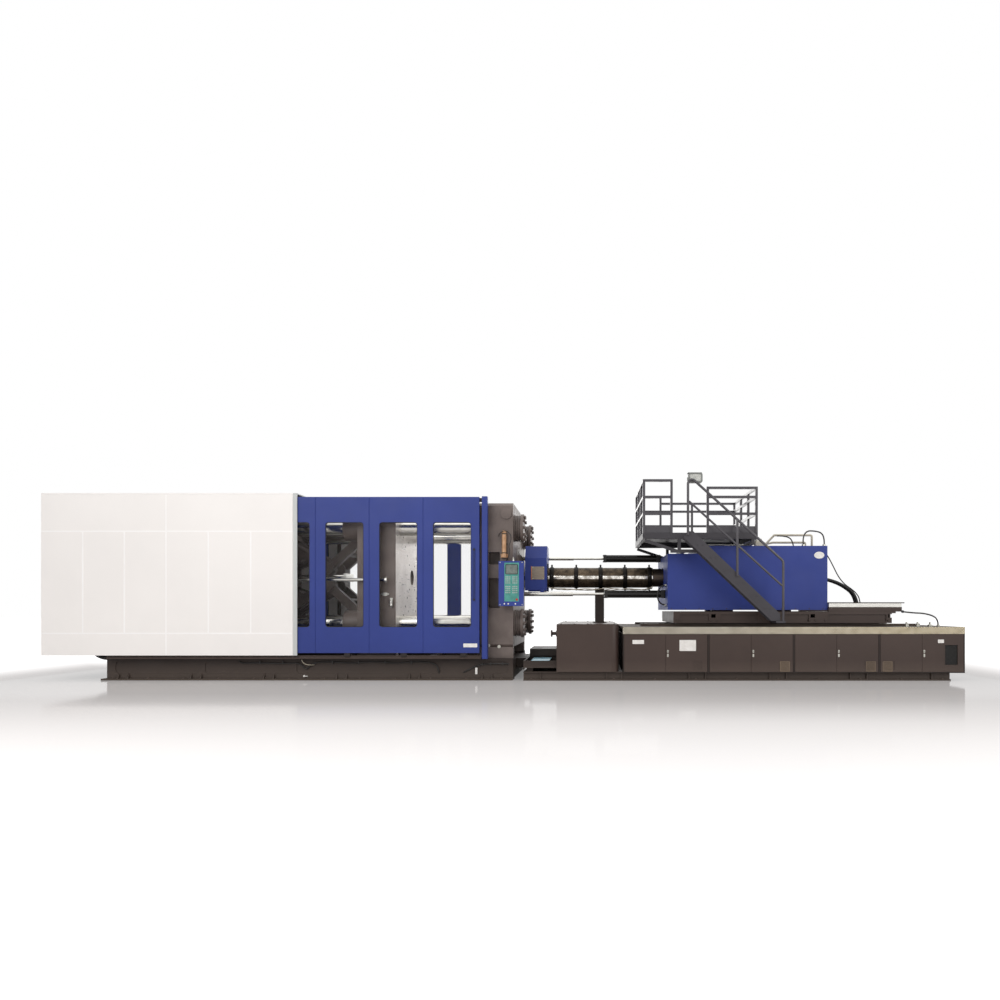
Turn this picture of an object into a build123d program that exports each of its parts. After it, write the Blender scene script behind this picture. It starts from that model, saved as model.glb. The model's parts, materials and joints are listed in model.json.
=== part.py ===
from build123d import *
import math
import os

os.makedirs("parts", exist_ok=True)

# Injection moulding machine, millimetres.
# X runs along the machine from the clamp end to the injection end, Y runs from the
# operator's side to the far side, and Z is up from the floor. The origin is on the
# floor under the middle of the whole machine.

# Whole machine
CLAMP_END_X = -6930.0
INJECTION_END_X = 6930.0
FRONT_Y = 1350.0
AXIS_Z = 1600.0

# Running clearances
PIN_PLAY = 0.06
SEAM = 6.0
DOOR_PLAY = 10.0

# Clamp base
BASE_X0 = -6030.0
BASE_X1 = 135.0
BASE_Y = 1200.0
BASE_TOP = 330.0
BASE_PLATE = 25.0
BASE_BEAM_WIDTH = 260.0
BASE_TOE = 60.0
POCKET_DEPTH = 10.0
GUSSET_PITCH = 1102.5
GUSSET_FIRST_X = -5775.0
GUSSET_SPREAD = 150.0
GUSSET_HEIGHT = 80.0
GUSSET_DEPTH = 70.0
GUSSET_THICKNESS = 16.0

# Platens and tie bars
PLATEN_Y = 1130.0
PLATEN_Z0 = 500.0
PLATEN_Z1 = 2700.0
PLATEN_EDGE = 40.0
FIXED_X0 = -450.0
FIXED_X1 = 130.0
MOVING_X0 = -2250.0
MOVING_X1 = -1662.0
TAIL_X0 = -4400.0
TAIL_X1 = -3910.0
TIE_RADIUS = 115.0
TIE_Y = 820.0
TIE_Z = 740.0
TIE_END_X0 = -4660.0
NUT_RADIUS = 205.0
NUT_LENGTH = 100.0
NUT_FLANGE_RADIUS = 222.0
NUT_FLANGE = 45.0
NUT_BOLTS = 10
NUT_BOLT_CIRCLE = 180.0
NUT_BOLT_FLAT = 46.0
NUT_BOLT_HEIGHT = 30.0
BOSS_RADIUS = 200.0
BOSS_LENGTH = 260.0
MOULD_HOLE_RADIUS = 18.0
MOULD_HOLE_DEPTH = 70.0
MOULD_HOLE_PITCH = 140.0
MOULD_HOLE_ROWS = 5
LOCATING_RADIUS = 125.0
NOZZLE_POCKET_RADIUS = 260.0

# Toggle, measured from the moving platen's lug pins
LUG_PIN_X = -2380.0
LUG_PIN_Z = 640.0
LINK_FRONT = 760.0
LINK_REAR = 960.0
LUG_SPACING = 1380.0
TOGGLE_Y = 330.0
FRONT_LINK_WIDTH = 120.0
SIDE_PLAY = 5.0
LUG_PLATE = 60.0
PIN_RADIUS = 60.0
LINK_EYE = 110.0
LINK_WAIST = 140.0
CROSS_PIVOT_ALONG = 480.0
CROSS_PIVOT_IN = 100.0
CROSS_LINK = 395.0
CROSS_PIN_Z = 150.0
CROSS_PIN_RADIUS = 35.0
CROSS_EYE = 78.0
CROSS_LINK_WIDTH = 60.0
CROSSHEAD_HALF = 85.0
CROSSHEAD_BEAM = 60.0
PISTON_ROD_RADIUS = 70.0
GUIDE_ROD_RADIUS = 40.0
GUIDE_ROD_Y = 150.0
GUIDE_END_X = -2700.0

# White clamp cover
COVER_X1 = -3090.0
COVER_Z0 = 382.0
COVER_Z1 = 2820.0
COVER_SHEET = 20.0
COVER_SPLIT_X = -5055.0
COVER_LOW_SEAM = 714.0
COVER_HIGH_SEAM = 2245.0
COVER_RIM = 60.0
SEAM_DEPTH = 8.0

# Tracks of the sliding doors
TRACK_PLATE = 20.0
TRACK_TOP = BASE_TOP + TRACK_PLATE
TRACK_RIB_Y = 1290.0
TRACK_RIB = 16.0
TRACK_RIB_HEIGHT = 30.0

# Blue sliding doors
DOOR_X0 = -3639.0
DOOR_X1 = -360.0
DOOR_LIFT = 67.0
DOOR_Z0 = TRACK_TOP + DOOR_LIFT
DOOR_Z1 = 2767.0
DOOR_THICKNESS = 60.0
DOOR_PANEL = 810.0
DOOR_GROOVE = 5.0
WINDOW_WIDTH = 574.0
WINDOW_Z0 = 807.0
WINDOW_Z1 = 2385.0
WINDOW_CORNER = 45.0
WINDOW_LAST_X = -482.0
PANE = 8.0
HANDLE_X = -438.0
HANDLE_Z0 = 1215.0
HANDLE_Z1 = 1980.0
HANDLE_WIDTH = 36.0
POST_X0 = -322.0
POST_X1 = -240.0
POST_TOP = 2775.0
POST_DEPTH = 120.0

# Injection base
BED_X0 = 300.0
BED_SETBACK = 188.0
PLINTH_TOP = 120.0
PLINTH_Y = 1300.0
CABINET_X0 = 1800.0
CABINET_TOP = 705.0
DECK_TOP = 810.0
DECK_PLATE = 20.0
BAY = 1282.5
BAYS = 4
BED_X1 = CABINET_X0 + BAYS * BAY - BED_SETBACK
DOOR_LEAF = 22.0
HINGE_PIN = 6.0
HINGE_INSET = 9.0
HINGE_DEPTH = 30.0
LEAF_GAP = 4.0
LEAF_SIDE = 18.0
TANK_X0 = 802.0
TANK_X1 = 1740.0
TANK_Z0 = 135.0
TANK_Z1 = 850.0
TANK_CORNER = 110.0
COLUMN_X = 1467.0
COLUMN_HALF = 75.0

# Injection carriage
SLED_X0 = 2600.0
SLED_X1 = 6046.0
SLED_Y = 950.0
SLED_Z0 = 850.0
SLED_Z1 = 1040.0
SLED_PLATE = 25.0
RAIL_Y = 700.0
RAIL_WIDTH = 110.0
RAIL_HEIGHT = 40.0
TOP_RAIL_Y = 870.0
HOOD_X0 = 2520.0
HOOD_X1 = 5017.0
HOOD_STEP_X = 3050.0
HOOD_Y = 850.0
HOOD_Z0 = 1065.0
HOOD_Z1 = 2068.0
HOOD_STEP_Z = 1944.0
HOOD_SHEET = 12.0
HOPPER_BOLTS = 300.0
HOPPER_HOLE_RADIUS = 9.0

# Barrel
BARREL_RADIUS = 150.0
BARREL_X0 = 330.0
BARREL_X1 = 3600.0
BARREL_COVER_RADIUS = 166.0
BARREL_COVER_X0 = 600.0
BARREL_COVER_X1 = 2350.0
BAND_RADIUS = 176.0
BAND_WIDTH = 66.0
BAND_PITCH = 405.0
BAND_FIRST_X = 674.0
NOZZLE_RADIUS = 60.0
NOZZLE_TAPER = 100.0
NOZZLE_TIP_X = -110.0
THROAT_X = 3450.0
THROAT_RADIUS = 75.0
CYL_RADIUS = 64.0
CYL_ROD_RADIUS = 22.0
CYL_SLEEVE_RADIUS = 32.0
CYL_Y = 430.0
CYL_HIGH_Z = 1945.0
CYL_LOW_Z = 1320.0
CYL_X0 = 1590.0
CYL_X1 = 2508.0

# Purge guard over the nozzle
GUARD_X0 = 250.0
GUARD_X1 = 592.0
GUARD_Y = 350.0
GUARD_TOP_Y = 210.0
GUARD_Z0 = 1380.0
GUARD_FOLD_Z = 1909.0
GUARD_Z1 = 2112.0
GUARD_SHEET = 8.0
GUARD_HOLE = 240.0
GUARD_TRAVEL = 300.0
GUARD_RAIL_Y = 370.0
GUARD_RAIL_Z = 1350.0
GUARD_RAIL_RADIUS = 10.0
GUARD_LUG_X = 500.0
GUARD_LUG = 60.0

# Operator panel
PANEL_X0 = -67.0
PANEL_X1 = 307.0
PANEL_Z0 = 1125.0
PANEL_Z1 = 1800.0
PANEL_DEPTH = 110.0
PANEL_PIVOT_Y = -1190.0
PANEL_PIVOT_RADIUS = 20.0
KEYPAD_X0 = 20.0
KEYPAD_X1 = 238.0
KEYPAD_Z0 = 1193.0
KEYPAD_Z1 = 1776.0
KEYPAD_SHEET = 4.0
BUTTON_RADIUS = 11.0
STOP_RADIUS = 18.0
BUTTON_TRAVEL = 5.0

# Work platform and stairs
FLOOR_X0 = 2114.0
FLOOR_X1 = 3876.0
FLOOR_Y0 = -1100.0
FLOOR_Y1 = 800.0
FLOOR_Z = 2250.0
FLOOR_BEAM = 95.0
TOE_BOARD = 100.0
HANDRAIL_HEIGHT = 819.0
HANDRAIL_LOW_HEIGHT = 706.0
RAIL_TOP = FLOOR_Z + HANDRAIL_HEIGHT
RAIL_LOW_TOP = FLOOR_Z + HANDRAIL_LOW_HEIGHT
MIDDLE_RAILS = (FLOOR_Z + 0.775 * HANDRAIL_LOW_HEIGHT, FLOOR_Z + 0.411 * HANDRAIL_LOW_HEIGHT)
TUBE = 19.0
STAIR_Y0 = -1345.0
STAIR_Y1 = -1100.0
STAIR_TOP_X = 2770.0
STAIR_FOOT_X = 4190.0
STAIR_FOOT_Z = 900.0
STRINGER = 12.0
STRINGER_DEPTH = 170.0
TREADS = 6


def block(x0, x1, y0, y1, z0, z1):
    """A box between two corners."""
    return Pos((x0 + x1) / 2, (y0 + y1) / 2, (z0 + z1) / 2) * Box(x1 - x0, y1 - y0, z1 - z0)


def bar_x(x0, x1, y, z, radius):
    """A round bar along X."""
    return Pos((x0 + x1) / 2, y, z) * Rot(0, 90, 0) * Cylinder(radius, abs(x1 - x0))


def bar_y(x, y0, y1, z, radius):
    """A round bar along Y."""
    return Pos(x, (y0 + y1) / 2, z) * Rot(90, 0, 0) * Cylinder(radius, abs(y1 - y0))


def bar_z(x, y, z0, z1, radius):
    """A round bar along Z."""
    return Pos(x, y, (z0 + z1) / 2) * Cylinder(radius, abs(z1 - z0))


def pocket(x0, x1, z0, z1, y, depth, corner):
    """A rounded pocket in a side wall whose outer face is at y."""
    shape = RectangleRounded(x1 - x0, z1 - z0, corner)
    tool = extrude(Plane((0, 0, 0), x_dir=(1, 0, 0), z_dir=(0, -1, 0)) * shape, depth, both=True)
    return Pos((x0 + x1) / 2, y, (z0 + z1) / 2) * tool


def save(name, shapes):
    """Write one named piece, made of one solid or several."""
    if isinstance(shapes, (list, tuple)):
        shapes = Compound(children=list(shapes)) if len(shapes) > 1 else shapes[0]
    export_step(shapes, os.path.join("parts", name + ".step"))


# Clamp base
def clamp_base():
    parts = []
    pockets = [(-5900, -4620), (-4540, -3240), (-3150, -960), (-435, 60)]
    for side in (-1, 1):
        outer = side * BASE_Y
        inner = side * (BASE_Y - BASE_BEAM_WIDTH)
        y0, y1 = sorted((outer, inner))
        toe0, toe1 = sorted((outer + side * BASE_TOE, inner))
        parts.append(block(BASE_X0 - BASE_TOE, BASE_X1, toe0, toe1, 0, BASE_PLATE))
        beam = block(BASE_X0, BASE_X1, y0, y1, BASE_PLATE, BASE_TOP)
        for x0, x1 in pockets:
            beam -= pocket(x0, x1, 95, 290, outer, POCKET_DEPTH, 60)
        parts.append(beam)
        for i in range(6):
            for shift in (-1, 1):
                x = GUSSET_FIRST_X + i * GUSSET_PITCH + shift * GUSSET_SPREAD / 2
                parts.append(gusset(x, outer, side))
    for x in (BASE_X0, -4400, -2900, -1400, BASE_X1 - 120):
        gap = BASE_Y - BASE_BEAM_WIDTH
        parts.append(block(x, x + 120, -gap, gap, BASE_PLATE, BASE_TOP - 30))
    return parts


def gusset(x, face, side):
    """A small triangular stiffener between the side wall and the floor flange."""
    tip = face + side * (BASE_TOE - 5)
    points = [(face, BASE_PLATE), (tip, BASE_PLATE), (face, BASE_PLATE + GUSSET_HEIGHT)]
    wire = Polyline([(x, y, z) for y, z in points], close=True)
    return extrude(make_face(wire), GUSSET_THICKNESS, dir=(1, 0, 0))


# Platens
def platen(x0, x1):
    body = block(x0, x1, -PLATEN_Y, PLATEN_Y, PLATEN_Z0, PLATEN_Z1)
    body = chamfer(body.edges().filter_by(Axis.X), PLATEN_EDGE)
    for y in (-TIE_Y, TIE_Y):
        for z in (-TIE_Z, TIE_Z):
            body -= bar_x(x0 - 1, x1 + 1, y, AXIS_Z + z, TIE_RADIUS + PIN_PLAY)
    return body


def mould_holes(x, into):
    """The tapped holes of a platen's mould face, in a cross of diagonals."""
    tools = []
    for i in range(1, MOULD_HOLE_ROWS + 1):
        for sy in (-1, 1):
            for sz in (-1, 1):
                y = sy * (60 + i * MOULD_HOLE_PITCH)
                z = AXIS_Z + sz * (60 + i * MOULD_HOLE_PITCH)
                if i < MOULD_HOLE_ROWS:
                    tools.append(hole_x(x, into, y, z))
                else:
                    tools.append(hole_x(x, into, sy * 280, AXIS_Z + sz * 560))
    return tools


def hole_x(x, into, y, z):
    return bar_x(min(x, x + into), max(x, x + into), y, z, MOULD_HOLE_RADIUS)


def fixed_platen():
    body = platen(FIXED_X0, FIXED_X1)
    boss = Pos(FIXED_X1 + 35, 0, AXIS_Z) * Rot(0, 90, 0) * Cone(420, 330, 70)
    body += boss
    tip = NOZZLE_POCKET_RADIUS
    body -= Pos((FIXED_X0 + 200 + FIXED_X1 + 71) / 2, 0, AXIS_Z) * Rot(0, 90, 0) * Cylinder(
        tip, FIXED_X1 + 71 - FIXED_X0 - 200
    )
    body -= bar_x(FIXED_X0 - 1, FIXED_X0 + 30, 0, AXIS_Z, LOCATING_RADIUS)
    body -= bar_x(FIXED_X0, FIXED_X0 + 201, 0, AXIS_Z, 45)
    body -= mould_holes(FIXED_X0, MOULD_HOLE_DEPTH)
    for side in (-1, 1):
        body -= pocket(-240, -70, 1760, 1950, side * PLATEN_Y, 180, 15)
        body -= pocket(-240, -70, 1095, 1553, side * PLATEN_Y, 180, 15)
    trunnions = [bar_y(25, side * PLATEN_Y, side * (PLATEN_Y + 18), 2540, 85) for side in (-1, 1)]
    feet = [
        block(FIXED_X0 + 60, FIXED_X1, s * 1040 - 80, s * 1040 + 80, BASE_TOP, PLATEN_Z0) for s in (-1, 1)
    ]
    arm = block(60, 180, -1155, -PLATEN_Y, 1380, 1500)
    ears = [panel_ear(z) for z in (1340, 1500)]
    return [body] + trunnions + feet + [arm] + ears


def panel_ear(z):
    """One of the two eyes that carry the operator panel's pivot pin."""
    ear = block(85, 155, PANEL_PIVOT_Y - 28, -PLATEN_Y, z, z + 40)
    return ear - bar_z(120, PANEL_PIVOT_Y, z - 1, z + 41, PANEL_PIVOT_RADIUS + PIN_PLAY)


def moving_platen():
    body = platen(MOVING_X0, MOVING_X1)
    body -= bar_x(MOVING_X1 - 30, MOVING_X1 + 1, 0, AXIS_Z, LOCATING_RADIUS)
    body -= mould_holes(MOVING_X1, -MOULD_HOLE_DEPTH)
    for side in (-1, 1):
        for z in (1175, 2065):
            body -= bar_y(-1960, side * (PLATEN_Y - 120), side * (PLATEN_Y + 1), z, 38)
    bosses = []
    for y in (-TIE_Y, TIE_Y):
        for z in (AXIS_Z - TIE_Z, AXIS_Z + TIE_Z):
            boss = bar_x(MOVING_X0 - BOSS_LENGTH, MOVING_X0, y, z, BOSS_RADIUS)
            bosses.append(boss - bar_x(MOVING_X0 - BOSS_LENGTH - 1, MOVING_X0 + 1, y, z, TIE_RADIUS + PIN_PLAY))
    shoes = [block(MOVING_X0, MOVING_X1, s * 1040 - 80, s * 1040 + 80, BASE_TOP + 20.1, PLATEN_Z0) for s in (-1, 1)]
    return [body] + bosses + shoes + lugs(LUG_PIN_X, MOVING_X0, FRONT_LINK_WIDTH / 2 + SIDE_PLAY, 2)


def lugs(pin_x, wall_x, offset, count):
    """The eyes that carry the toggle's fixed pins, on a platen's back."""
    result = []
    for y in (-TOGGLE_Y, TOGGLE_Y):
        for sz in (-1, 1):
            z = AXIS_Z + sz * LUG_PIN_Z
            if count == 2:
                spans = [(y + offset, y + offset + LUG_PLATE), (y - offset - LUG_PLATE, y - offset)]
            else:
                spans = [(y - offset, y + offset)]
            for y0, y1 in spans:
                eye = bar_y(pin_x, y0, y1, z, LINK_EYE)
                eye += block(min(pin_x, wall_x), max(pin_x, wall_x), y0, y1, z - LINK_EYE, z + LINK_EYE)
                result.append(eye - bar_y(pin_x, y0 - 1, y1 + 1, z, PIN_RADIUS))
    return result


def tail_pin_x():
    return LUG_PIN_X - LUG_SPACING


def tail_platen():
    body = platen(TAIL_X0, TAIL_X1)
    body -= bar_x(TAIL_X0 - 1, TAIL_X1 + 1, 0, AXIS_Z, PISTON_ROD_RADIUS + 5)
    feet = [block(TAIL_X0, TAIL_X1, s * 1040 - 80, s * 1040 + 80, BASE_TOP + 20, PLATEN_Z0) for s in (-1, 1)]
    return [body] + feet + lugs(tail_pin_x(), TAIL_X1, FRONT_LINK_WIDTH / 2, 1)


def toggle_pins(pin_x, half):
    pins = []
    for y in (-TOGGLE_Y, TOGGLE_Y):
        for z in (AXIS_Z - LUG_PIN_Z, AXIS_Z + LUG_PIN_Z):
            pins.append(bar_y(pin_x, y - half, y + half, z, PIN_RADIUS))
    return pins


def tie_bars():
    bars = []
    for y in (-TIE_Y, TIE_Y):
        for z in (AXIS_Z - TIE_Z, AXIS_Z + TIE_Z):
            bars.append(bar_x(TIE_END_X0, FIXED_X1 + 20, y, z, TIE_RADIUS))
    return bars


def tie_bar_nuts():
    """The split nuts, flanges and hexagon bolts at both ends of the tie bars."""
    parts = []
    for y in (-TIE_Y, TIE_Y):
        for z in (AXIS_Z - TIE_Z, AXIS_Z + TIE_Z):
            drum = bar_x(FIXED_X1, FIXED_X1 + NUT_LENGTH, y, z, NUT_RADIUS)
            drum -= bar_x(FIXED_X1 - 1, FIXED_X1 + 21, y, z, TIE_RADIUS + PIN_PLAY)
            for i in range(3):
                groove_x = FIXED_X1 + 25 + i * 26
                groove = bar_x(groove_x, groove_x + 10, y, z, NUT_RADIUS + 1)
                drum -= groove - bar_x(groove_x - 1, groove_x + 11, y, z, NUT_RADIUS - 22)
            parts.append(drum)
            x = FIXED_X1 + NUT_LENGTH
            parts.append(bar_x(x, x + NUT_FLANGE, y, z, NUT_FLANGE_RADIUS))
            for i in range(NUT_BOLTS):
                angle = 2 * math.pi * i / NUT_BOLTS
                by = y + NUT_BOLT_CIRCLE * math.cos(angle)
                bz = z + NUT_BOLT_CIRCLE * math.sin(angle)
                head = Plane((x + NUT_FLANGE, by, bz), x_dir=(0, 1, 0), z_dir=(1, 0, 0))
                parts.append(extrude(head * RegularPolygon(NUT_BOLT_FLAT / 2, 6, major_radius=False), NUT_BOLT_HEIGHT))
            tail = bar_x(TAIL_X0 - 180, TAIL_X0, y, z, NUT_RADIUS)
            parts.append(tail - bar_x(TAIL_X0 - 181, TAIL_X0 + 1, y, z, TIE_RADIUS + PIN_PLAY))
    return parts


# Toggle links
def knee():
    """The upper knee pin, found from the two link lengths."""
    along = (LINK_FRONT**2 - LINK_REAR**2 + LUG_SPACING**2) / (2 * LUG_SPACING)
    drop = math.sqrt(LINK_FRONT**2 - along**2)
    return LUG_PIN_X - along, LUG_PIN_Z - drop


def link_plate(a, b, y0, y1, eye, waist):
    """A flat link with round eyes between points a and b, given as x and height above the axis."""
    length = math.hypot(b[0] - a[0], b[1] - a[1])
    turn = -math.degrees(math.atan2(b[1] - a[1], b[0] - a[0]))
    shape = Circle(eye) + Pos(length, 0) * Circle(eye) + Pos(length / 2, 0) * Rectangle(length, waist)
    flat = extrude(Plane((0, 0, 0), x_dir=(1, 0, 0), z_dir=(0, -1, 0)) * shape, y1 - y0)
    return Pos(a[0], y1, AXIS_Z + a[1]) * Rot(0, turn, 0) * flat


def point_between(a, b, along, across=0.0):
    length = math.hypot(b[0] - a[0], b[1] - a[1])
    ux = (b[0] - a[0]) / length
    uz = (b[1] - a[1]) / length
    return a[0] + ux * along + uz * across, a[1] + uz * along - ux * across


def mirror_z(point):
    return point[0], -point[1]


def front_link(sign):
    lug = (LUG_PIN_X, sign * LUG_PIN_Z)
    kx, kz = knee()
    bend = (kx, sign * kz)
    parts = None
    for y in (-TOGGLE_Y, TOGGLE_Y):
        y0 = y - FRONT_LINK_WIDTH / 2
        y1 = y + FRONT_LINK_WIDTH / 2
        plate = link_plate(lug, bend, y0, y1, LINK_EYE, LINK_WAIST)
        plate -= bar_y(lug[0], y0 - 1, y1 + 1, AXIS_Z + lug[1], PIN_RADIUS + PIN_PLAY)
        parts = plate if parts is None else parts + plate
    middle = point_between(lug, bend, LINK_FRONT / 2)
    return parts + bar_y(middle[0], -TOGGLE_Y, TOGGLE_Y, AXIS_Z + middle[1], 45)


def rear_link(sign):
    lug = (tail_pin_x(), sign * LUG_PIN_Z)
    kx, kz = knee()
    bend = (kx, sign * kz)
    inner = FRONT_LINK_WIDTH / 2 + SIDE_PLAY
    parts = None
    for y in (-TOGGLE_Y, TOGGLE_Y):
        for side in (-1, 1):
            y0, y1 = sorted((y + side * inner, y + side * (inner + LUG_PLATE)))
            plate = link_plate(lug, bend, y0, y1, LINK_EYE, LINK_WAIST)
            eye = cross_pivot(sign)
            plate += bar_y(eye[0], y0, y1, AXIS_Z + eye[1], CROSS_EYE)
            cap0, cap1 = sorted((y + side * inner, y + side * (inner + LUG_PLATE + 14)))
            plate += bar_y(bend[0], cap0, cap1, AXIS_Z + bend[1], PIN_RADIUS)
            plate += bar_y(eye[0], cap0, cap1, AXIS_Z + eye[1], CROSS_PIN_RADIUS)
            plate -= bar_y(lug[0], y0 - 1, y1 + 1, AXIS_Z + lug[1], PIN_RADIUS + PIN_PLAY)
            parts = plate if parts is None else parts + plate
    brace = point_between(lug, bend, 655)
    width = TOGGLE_Y + inner + LUG_PLATE / 2
    return parts + bar_y(brace[0], -width, width, AXIS_Z + brace[1], 40)


def cross_pivot(sign):
    lug = (tail_pin_x(), LUG_PIN_Z)
    x, z = point_between(lug, knee(), CROSS_PIVOT_ALONG, CROSS_PIVOT_IN)
    return x, sign * z


def crosshead_x():
    x, z = cross_pivot(1)
    rise = z - CROSS_PIN_Z
    return x - math.sqrt(CROSS_LINK**2 - rise**2)


def cross_link(sign):
    start = (crosshead_x(), sign * CROSS_PIN_Z)
    end = cross_pivot(sign)
    parts = []
    for y in (-TOGGLE_Y, TOGGLE_Y):
        y0 = y - CROSS_LINK_WIDTH / 2
        y1 = y + CROSS_LINK_WIDTH / 2
        plate = link_plate(start, end, y0, y1, CROSS_EYE, 90)
        parts.append(plate - bar_y(start[0], y0 - 1, y1 + 1, AXIS_Z + start[1], CROSS_PIN_RADIUS + PIN_PLAY))
    return parts


def crosshead():
    x = crosshead_x()
    width = TOGGLE_Y + CROSS_LINK_WIDTH / 2 + SIDE_PLAY + 40
    body = block(x - CROSSHEAD_HALF, x + CROSSHEAD_HALF, -width, width, AXIS_Z - CROSSHEAD_BEAM, AXIS_Z + CROSSHEAD_BEAM)
    for y in (-GUIDE_ROD_Y, GUIDE_ROD_Y):
        body -= bar_x(x - 200, x + 200, y, AXIS_Z, GUIDE_ROD_RADIUS + PIN_PLAY)
    gap = CROSS_LINK_WIDTH / 2 + SIDE_PLAY
    reach = CROSS_PIN_Z + CROSS_EYE
    for y in (-TOGGLE_Y, TOGGLE_Y):
        for side in (-1, 1):
            y0, y1 = sorted((y + side * gap, y + side * (gap + 40)))
            body += block(x - 60, x + 60, y0, y1, AXIS_Z - reach, AXIS_Z + reach)
        for sz in (-1, 1):
            body += bar_y(x, y - gap - 55, y + gap + 55, AXIS_Z + sz * CROSS_PIN_Z, CROSS_PIN_RADIUS)
    body += bar_x(TAIL_X0 - 620, x, 0, AXIS_Z, PISTON_ROD_RADIUS)
    return body


def clamp_cylinder():
    """The clamping cylinder behind the tail platen, with its end cap and ports."""
    tube = bar_x(TAIL_X0 - 1150, TAIL_X0, 0, AXIS_Z, 190)
    tube -= bar_x(TAIL_X0 - 1100, TAIL_X0 + 1, 0, AXIS_Z, PISTON_ROD_RADIUS + PIN_PLAY)
    collar = bar_x(TAIL_X0 - 60, TAIL_X0, 0, AXIS_Z, 250) - bar_x(TAIL_X0 - 61, TAIL_X0 + 1, 0, AXIS_Z, 190)
    cap = bar_x(TAIL_X0 - 1210, TAIL_X0 - 1150, 0, AXIS_Z, 230)
    ports = [bar_z(x, 0, AXIS_Z + 188, AXIS_Z + 260, 45) for x in (TAIL_X0 - 180, TAIL_X0 - 1040)]
    return [tube, collar, cap] + ports


def guide_rods():
    """Bright rods: the crosshead's guides, the carriage cylinder rods and the purge guard's rails."""
    rods = []
    for y in (-GUIDE_ROD_Y, GUIDE_ROD_Y):
        rods.append(bar_x(TAIL_X1, GUIDE_END_X - 40, y, AXIS_Z, GUIDE_ROD_RADIUS))
    plate = block(GUIDE_END_X - 40, GUIDE_END_X, -GUIDE_ROD_Y - 70, GUIDE_ROD_Y + 70, AXIS_Z - 65, AXIS_Z + 65)
    rods.append(plate)
    for y, z in ((-CYL_Y, CYL_LOW_Z), (CYL_Y, CYL_HIGH_Z)):
        rods.append(bar_x(FIXED_X1, CYL_X1 - 200, y, z, CYL_ROD_RADIUS))
        sleeve = bar_x(FIXED_X1, CYL_X0 - 560, y, z, CYL_SLEEVE_RADIUS)
        rods.append(sleeve - bar_x(FIXED_X1 - 1, CYL_X0 - 559, y, z, CYL_ROD_RADIUS))
    rail_end = GUARD_LUG_X + GUARD_LUG + GUARD_TRAVEL + 20
    for y in (-GUARD_RAIL_Y, GUARD_RAIL_Y):
        rods.append(bar_x(FIXED_X1, rail_end, y, GUARD_RAIL_Z, GUARD_RAIL_RADIUS))
    return rods


def slideways():
    """Bright flat ways: under the platens and under the injection carriage."""
    parts = []
    for side in (-1, 1):
        parts.append(block(TAIL_X0 - 600, FIXED_X0 - 250, side * 1040 - 90, side * 1040 + 90, BASE_TOP, BASE_TOP + 20))
        y = side * RAIL_Y
        parts.append(block(SLED_X0 - 500, SLED_X1 + 454, y - RAIL_WIDTH / 2, y + RAIL_WIDTH / 2, DECK_TOP, DECK_TOP + RAIL_HEIGHT))
    return parts


def grease_pump():
    """The tan grease cartridge on the operator's side of the fixed platen, with its pump foot."""
    body = bar_z(0, -1190, 1900, 2250, 34)
    body += Pos(0, -1190, 2262) * Cone(34, 20, 24)
    body += block(-34, 34, -1224, -1156, 1862, 1900)
    foot = block(-55, 55, -1156, -PLATEN_Y, 1862, 1920)
    return [body, foot]


def lube_filter():
    """The bright lubricant bowl and its distributor on the moving platen's side."""
    x = -1725.0
    y = -1160.0
    lower = bar_z(x, y, 1124, 1158, 28) + Pos(x, y, 1119) * Cone(16, 28, 10)
    upper = bar_z(x, y, 1166, 1206, 28) + Pos(x, y, 1211) * Cone(28, 16, 10)
    waist = bar_z(x, y, 1150, 1186, 22)
    stem = bar_z(x, y, 1100, 1240, 9)
    mount = block(x - 20, x + 20, -1140, -PLATEN_Y, 1210, 1250)
    arm = block(x - 12, x + 12, -1172, -1140, 1214, 1240)
    bowl = lower + upper + waist + stem + arm
    valve = block(-1850, -1790, -1165, -PLATEN_Y, 1280, 1330)
    valve += bar_x(-1880, -1760, -1150, 1305, 12)
    return [bowl, mount, valve]


def safety_rod():
    """The drop bar that rides with the moving platen."""
    y = -1190.0
    z = 1524.0
    rod = bar_x(-5200, -1800, y, z, 26)
    ring = bar_x(-1815, -1775, y, z, 42)
    arm = block(-1815, -1775, y + 20, -PLATEN_Y, z - 45, z + 45)
    return [rod + ring, arm - bar_x(-1816, -1774, y, z, 42)]


# White cover
def cover_panels():
    """The two side walls of the white cover, each a row of tall panels with open seams."""
    x0 = CLAMP_END_X
    x1 = COVER_X1 - COVER_RIM
    top = COVER_Z1 - COVER_SHEET
    parts = []
    for side in (-1, 1):
        outer = side * FRONT_Y
        y0, y1 = sorted((outer, side * (FRONT_Y - COVER_SHEET)))
        wall = block(x0, COVER_X1, y0, y1, COVER_Z0, top)
        g0, g1 = sorted((outer + side, outer - side * SEAM_DEPTH))
        wall -= block(COVER_SPLIT_X - SEAM / 2, COVER_SPLIT_X + SEAM / 2, g0, g1, COVER_Z0 - 1, top + 1)
        wall -= block(x1 - SEAM, x1, g0, g1, COVER_Z0 - 1, top + 1)
        for z in (COVER_LOW_SEAM, COVER_HIGH_SEAM):
            wall -= block(x0 - 1, x1 - SEAM, g0, g1, z - SEAM / 2, z + SEAM / 2)
        for left, right in ((x0, COVER_SPLIT_X), (COVER_SPLIT_X, x1)):
            for i in (1, 2):
                x = left + i * (right - left) / 3
                wall -= block(x - SEAM / 2, x + SEAM / 2, g0, g1, COVER_LOW_SEAM, COVER_HIGH_SEAM)
        parts.append(wall)
    return parts


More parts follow.
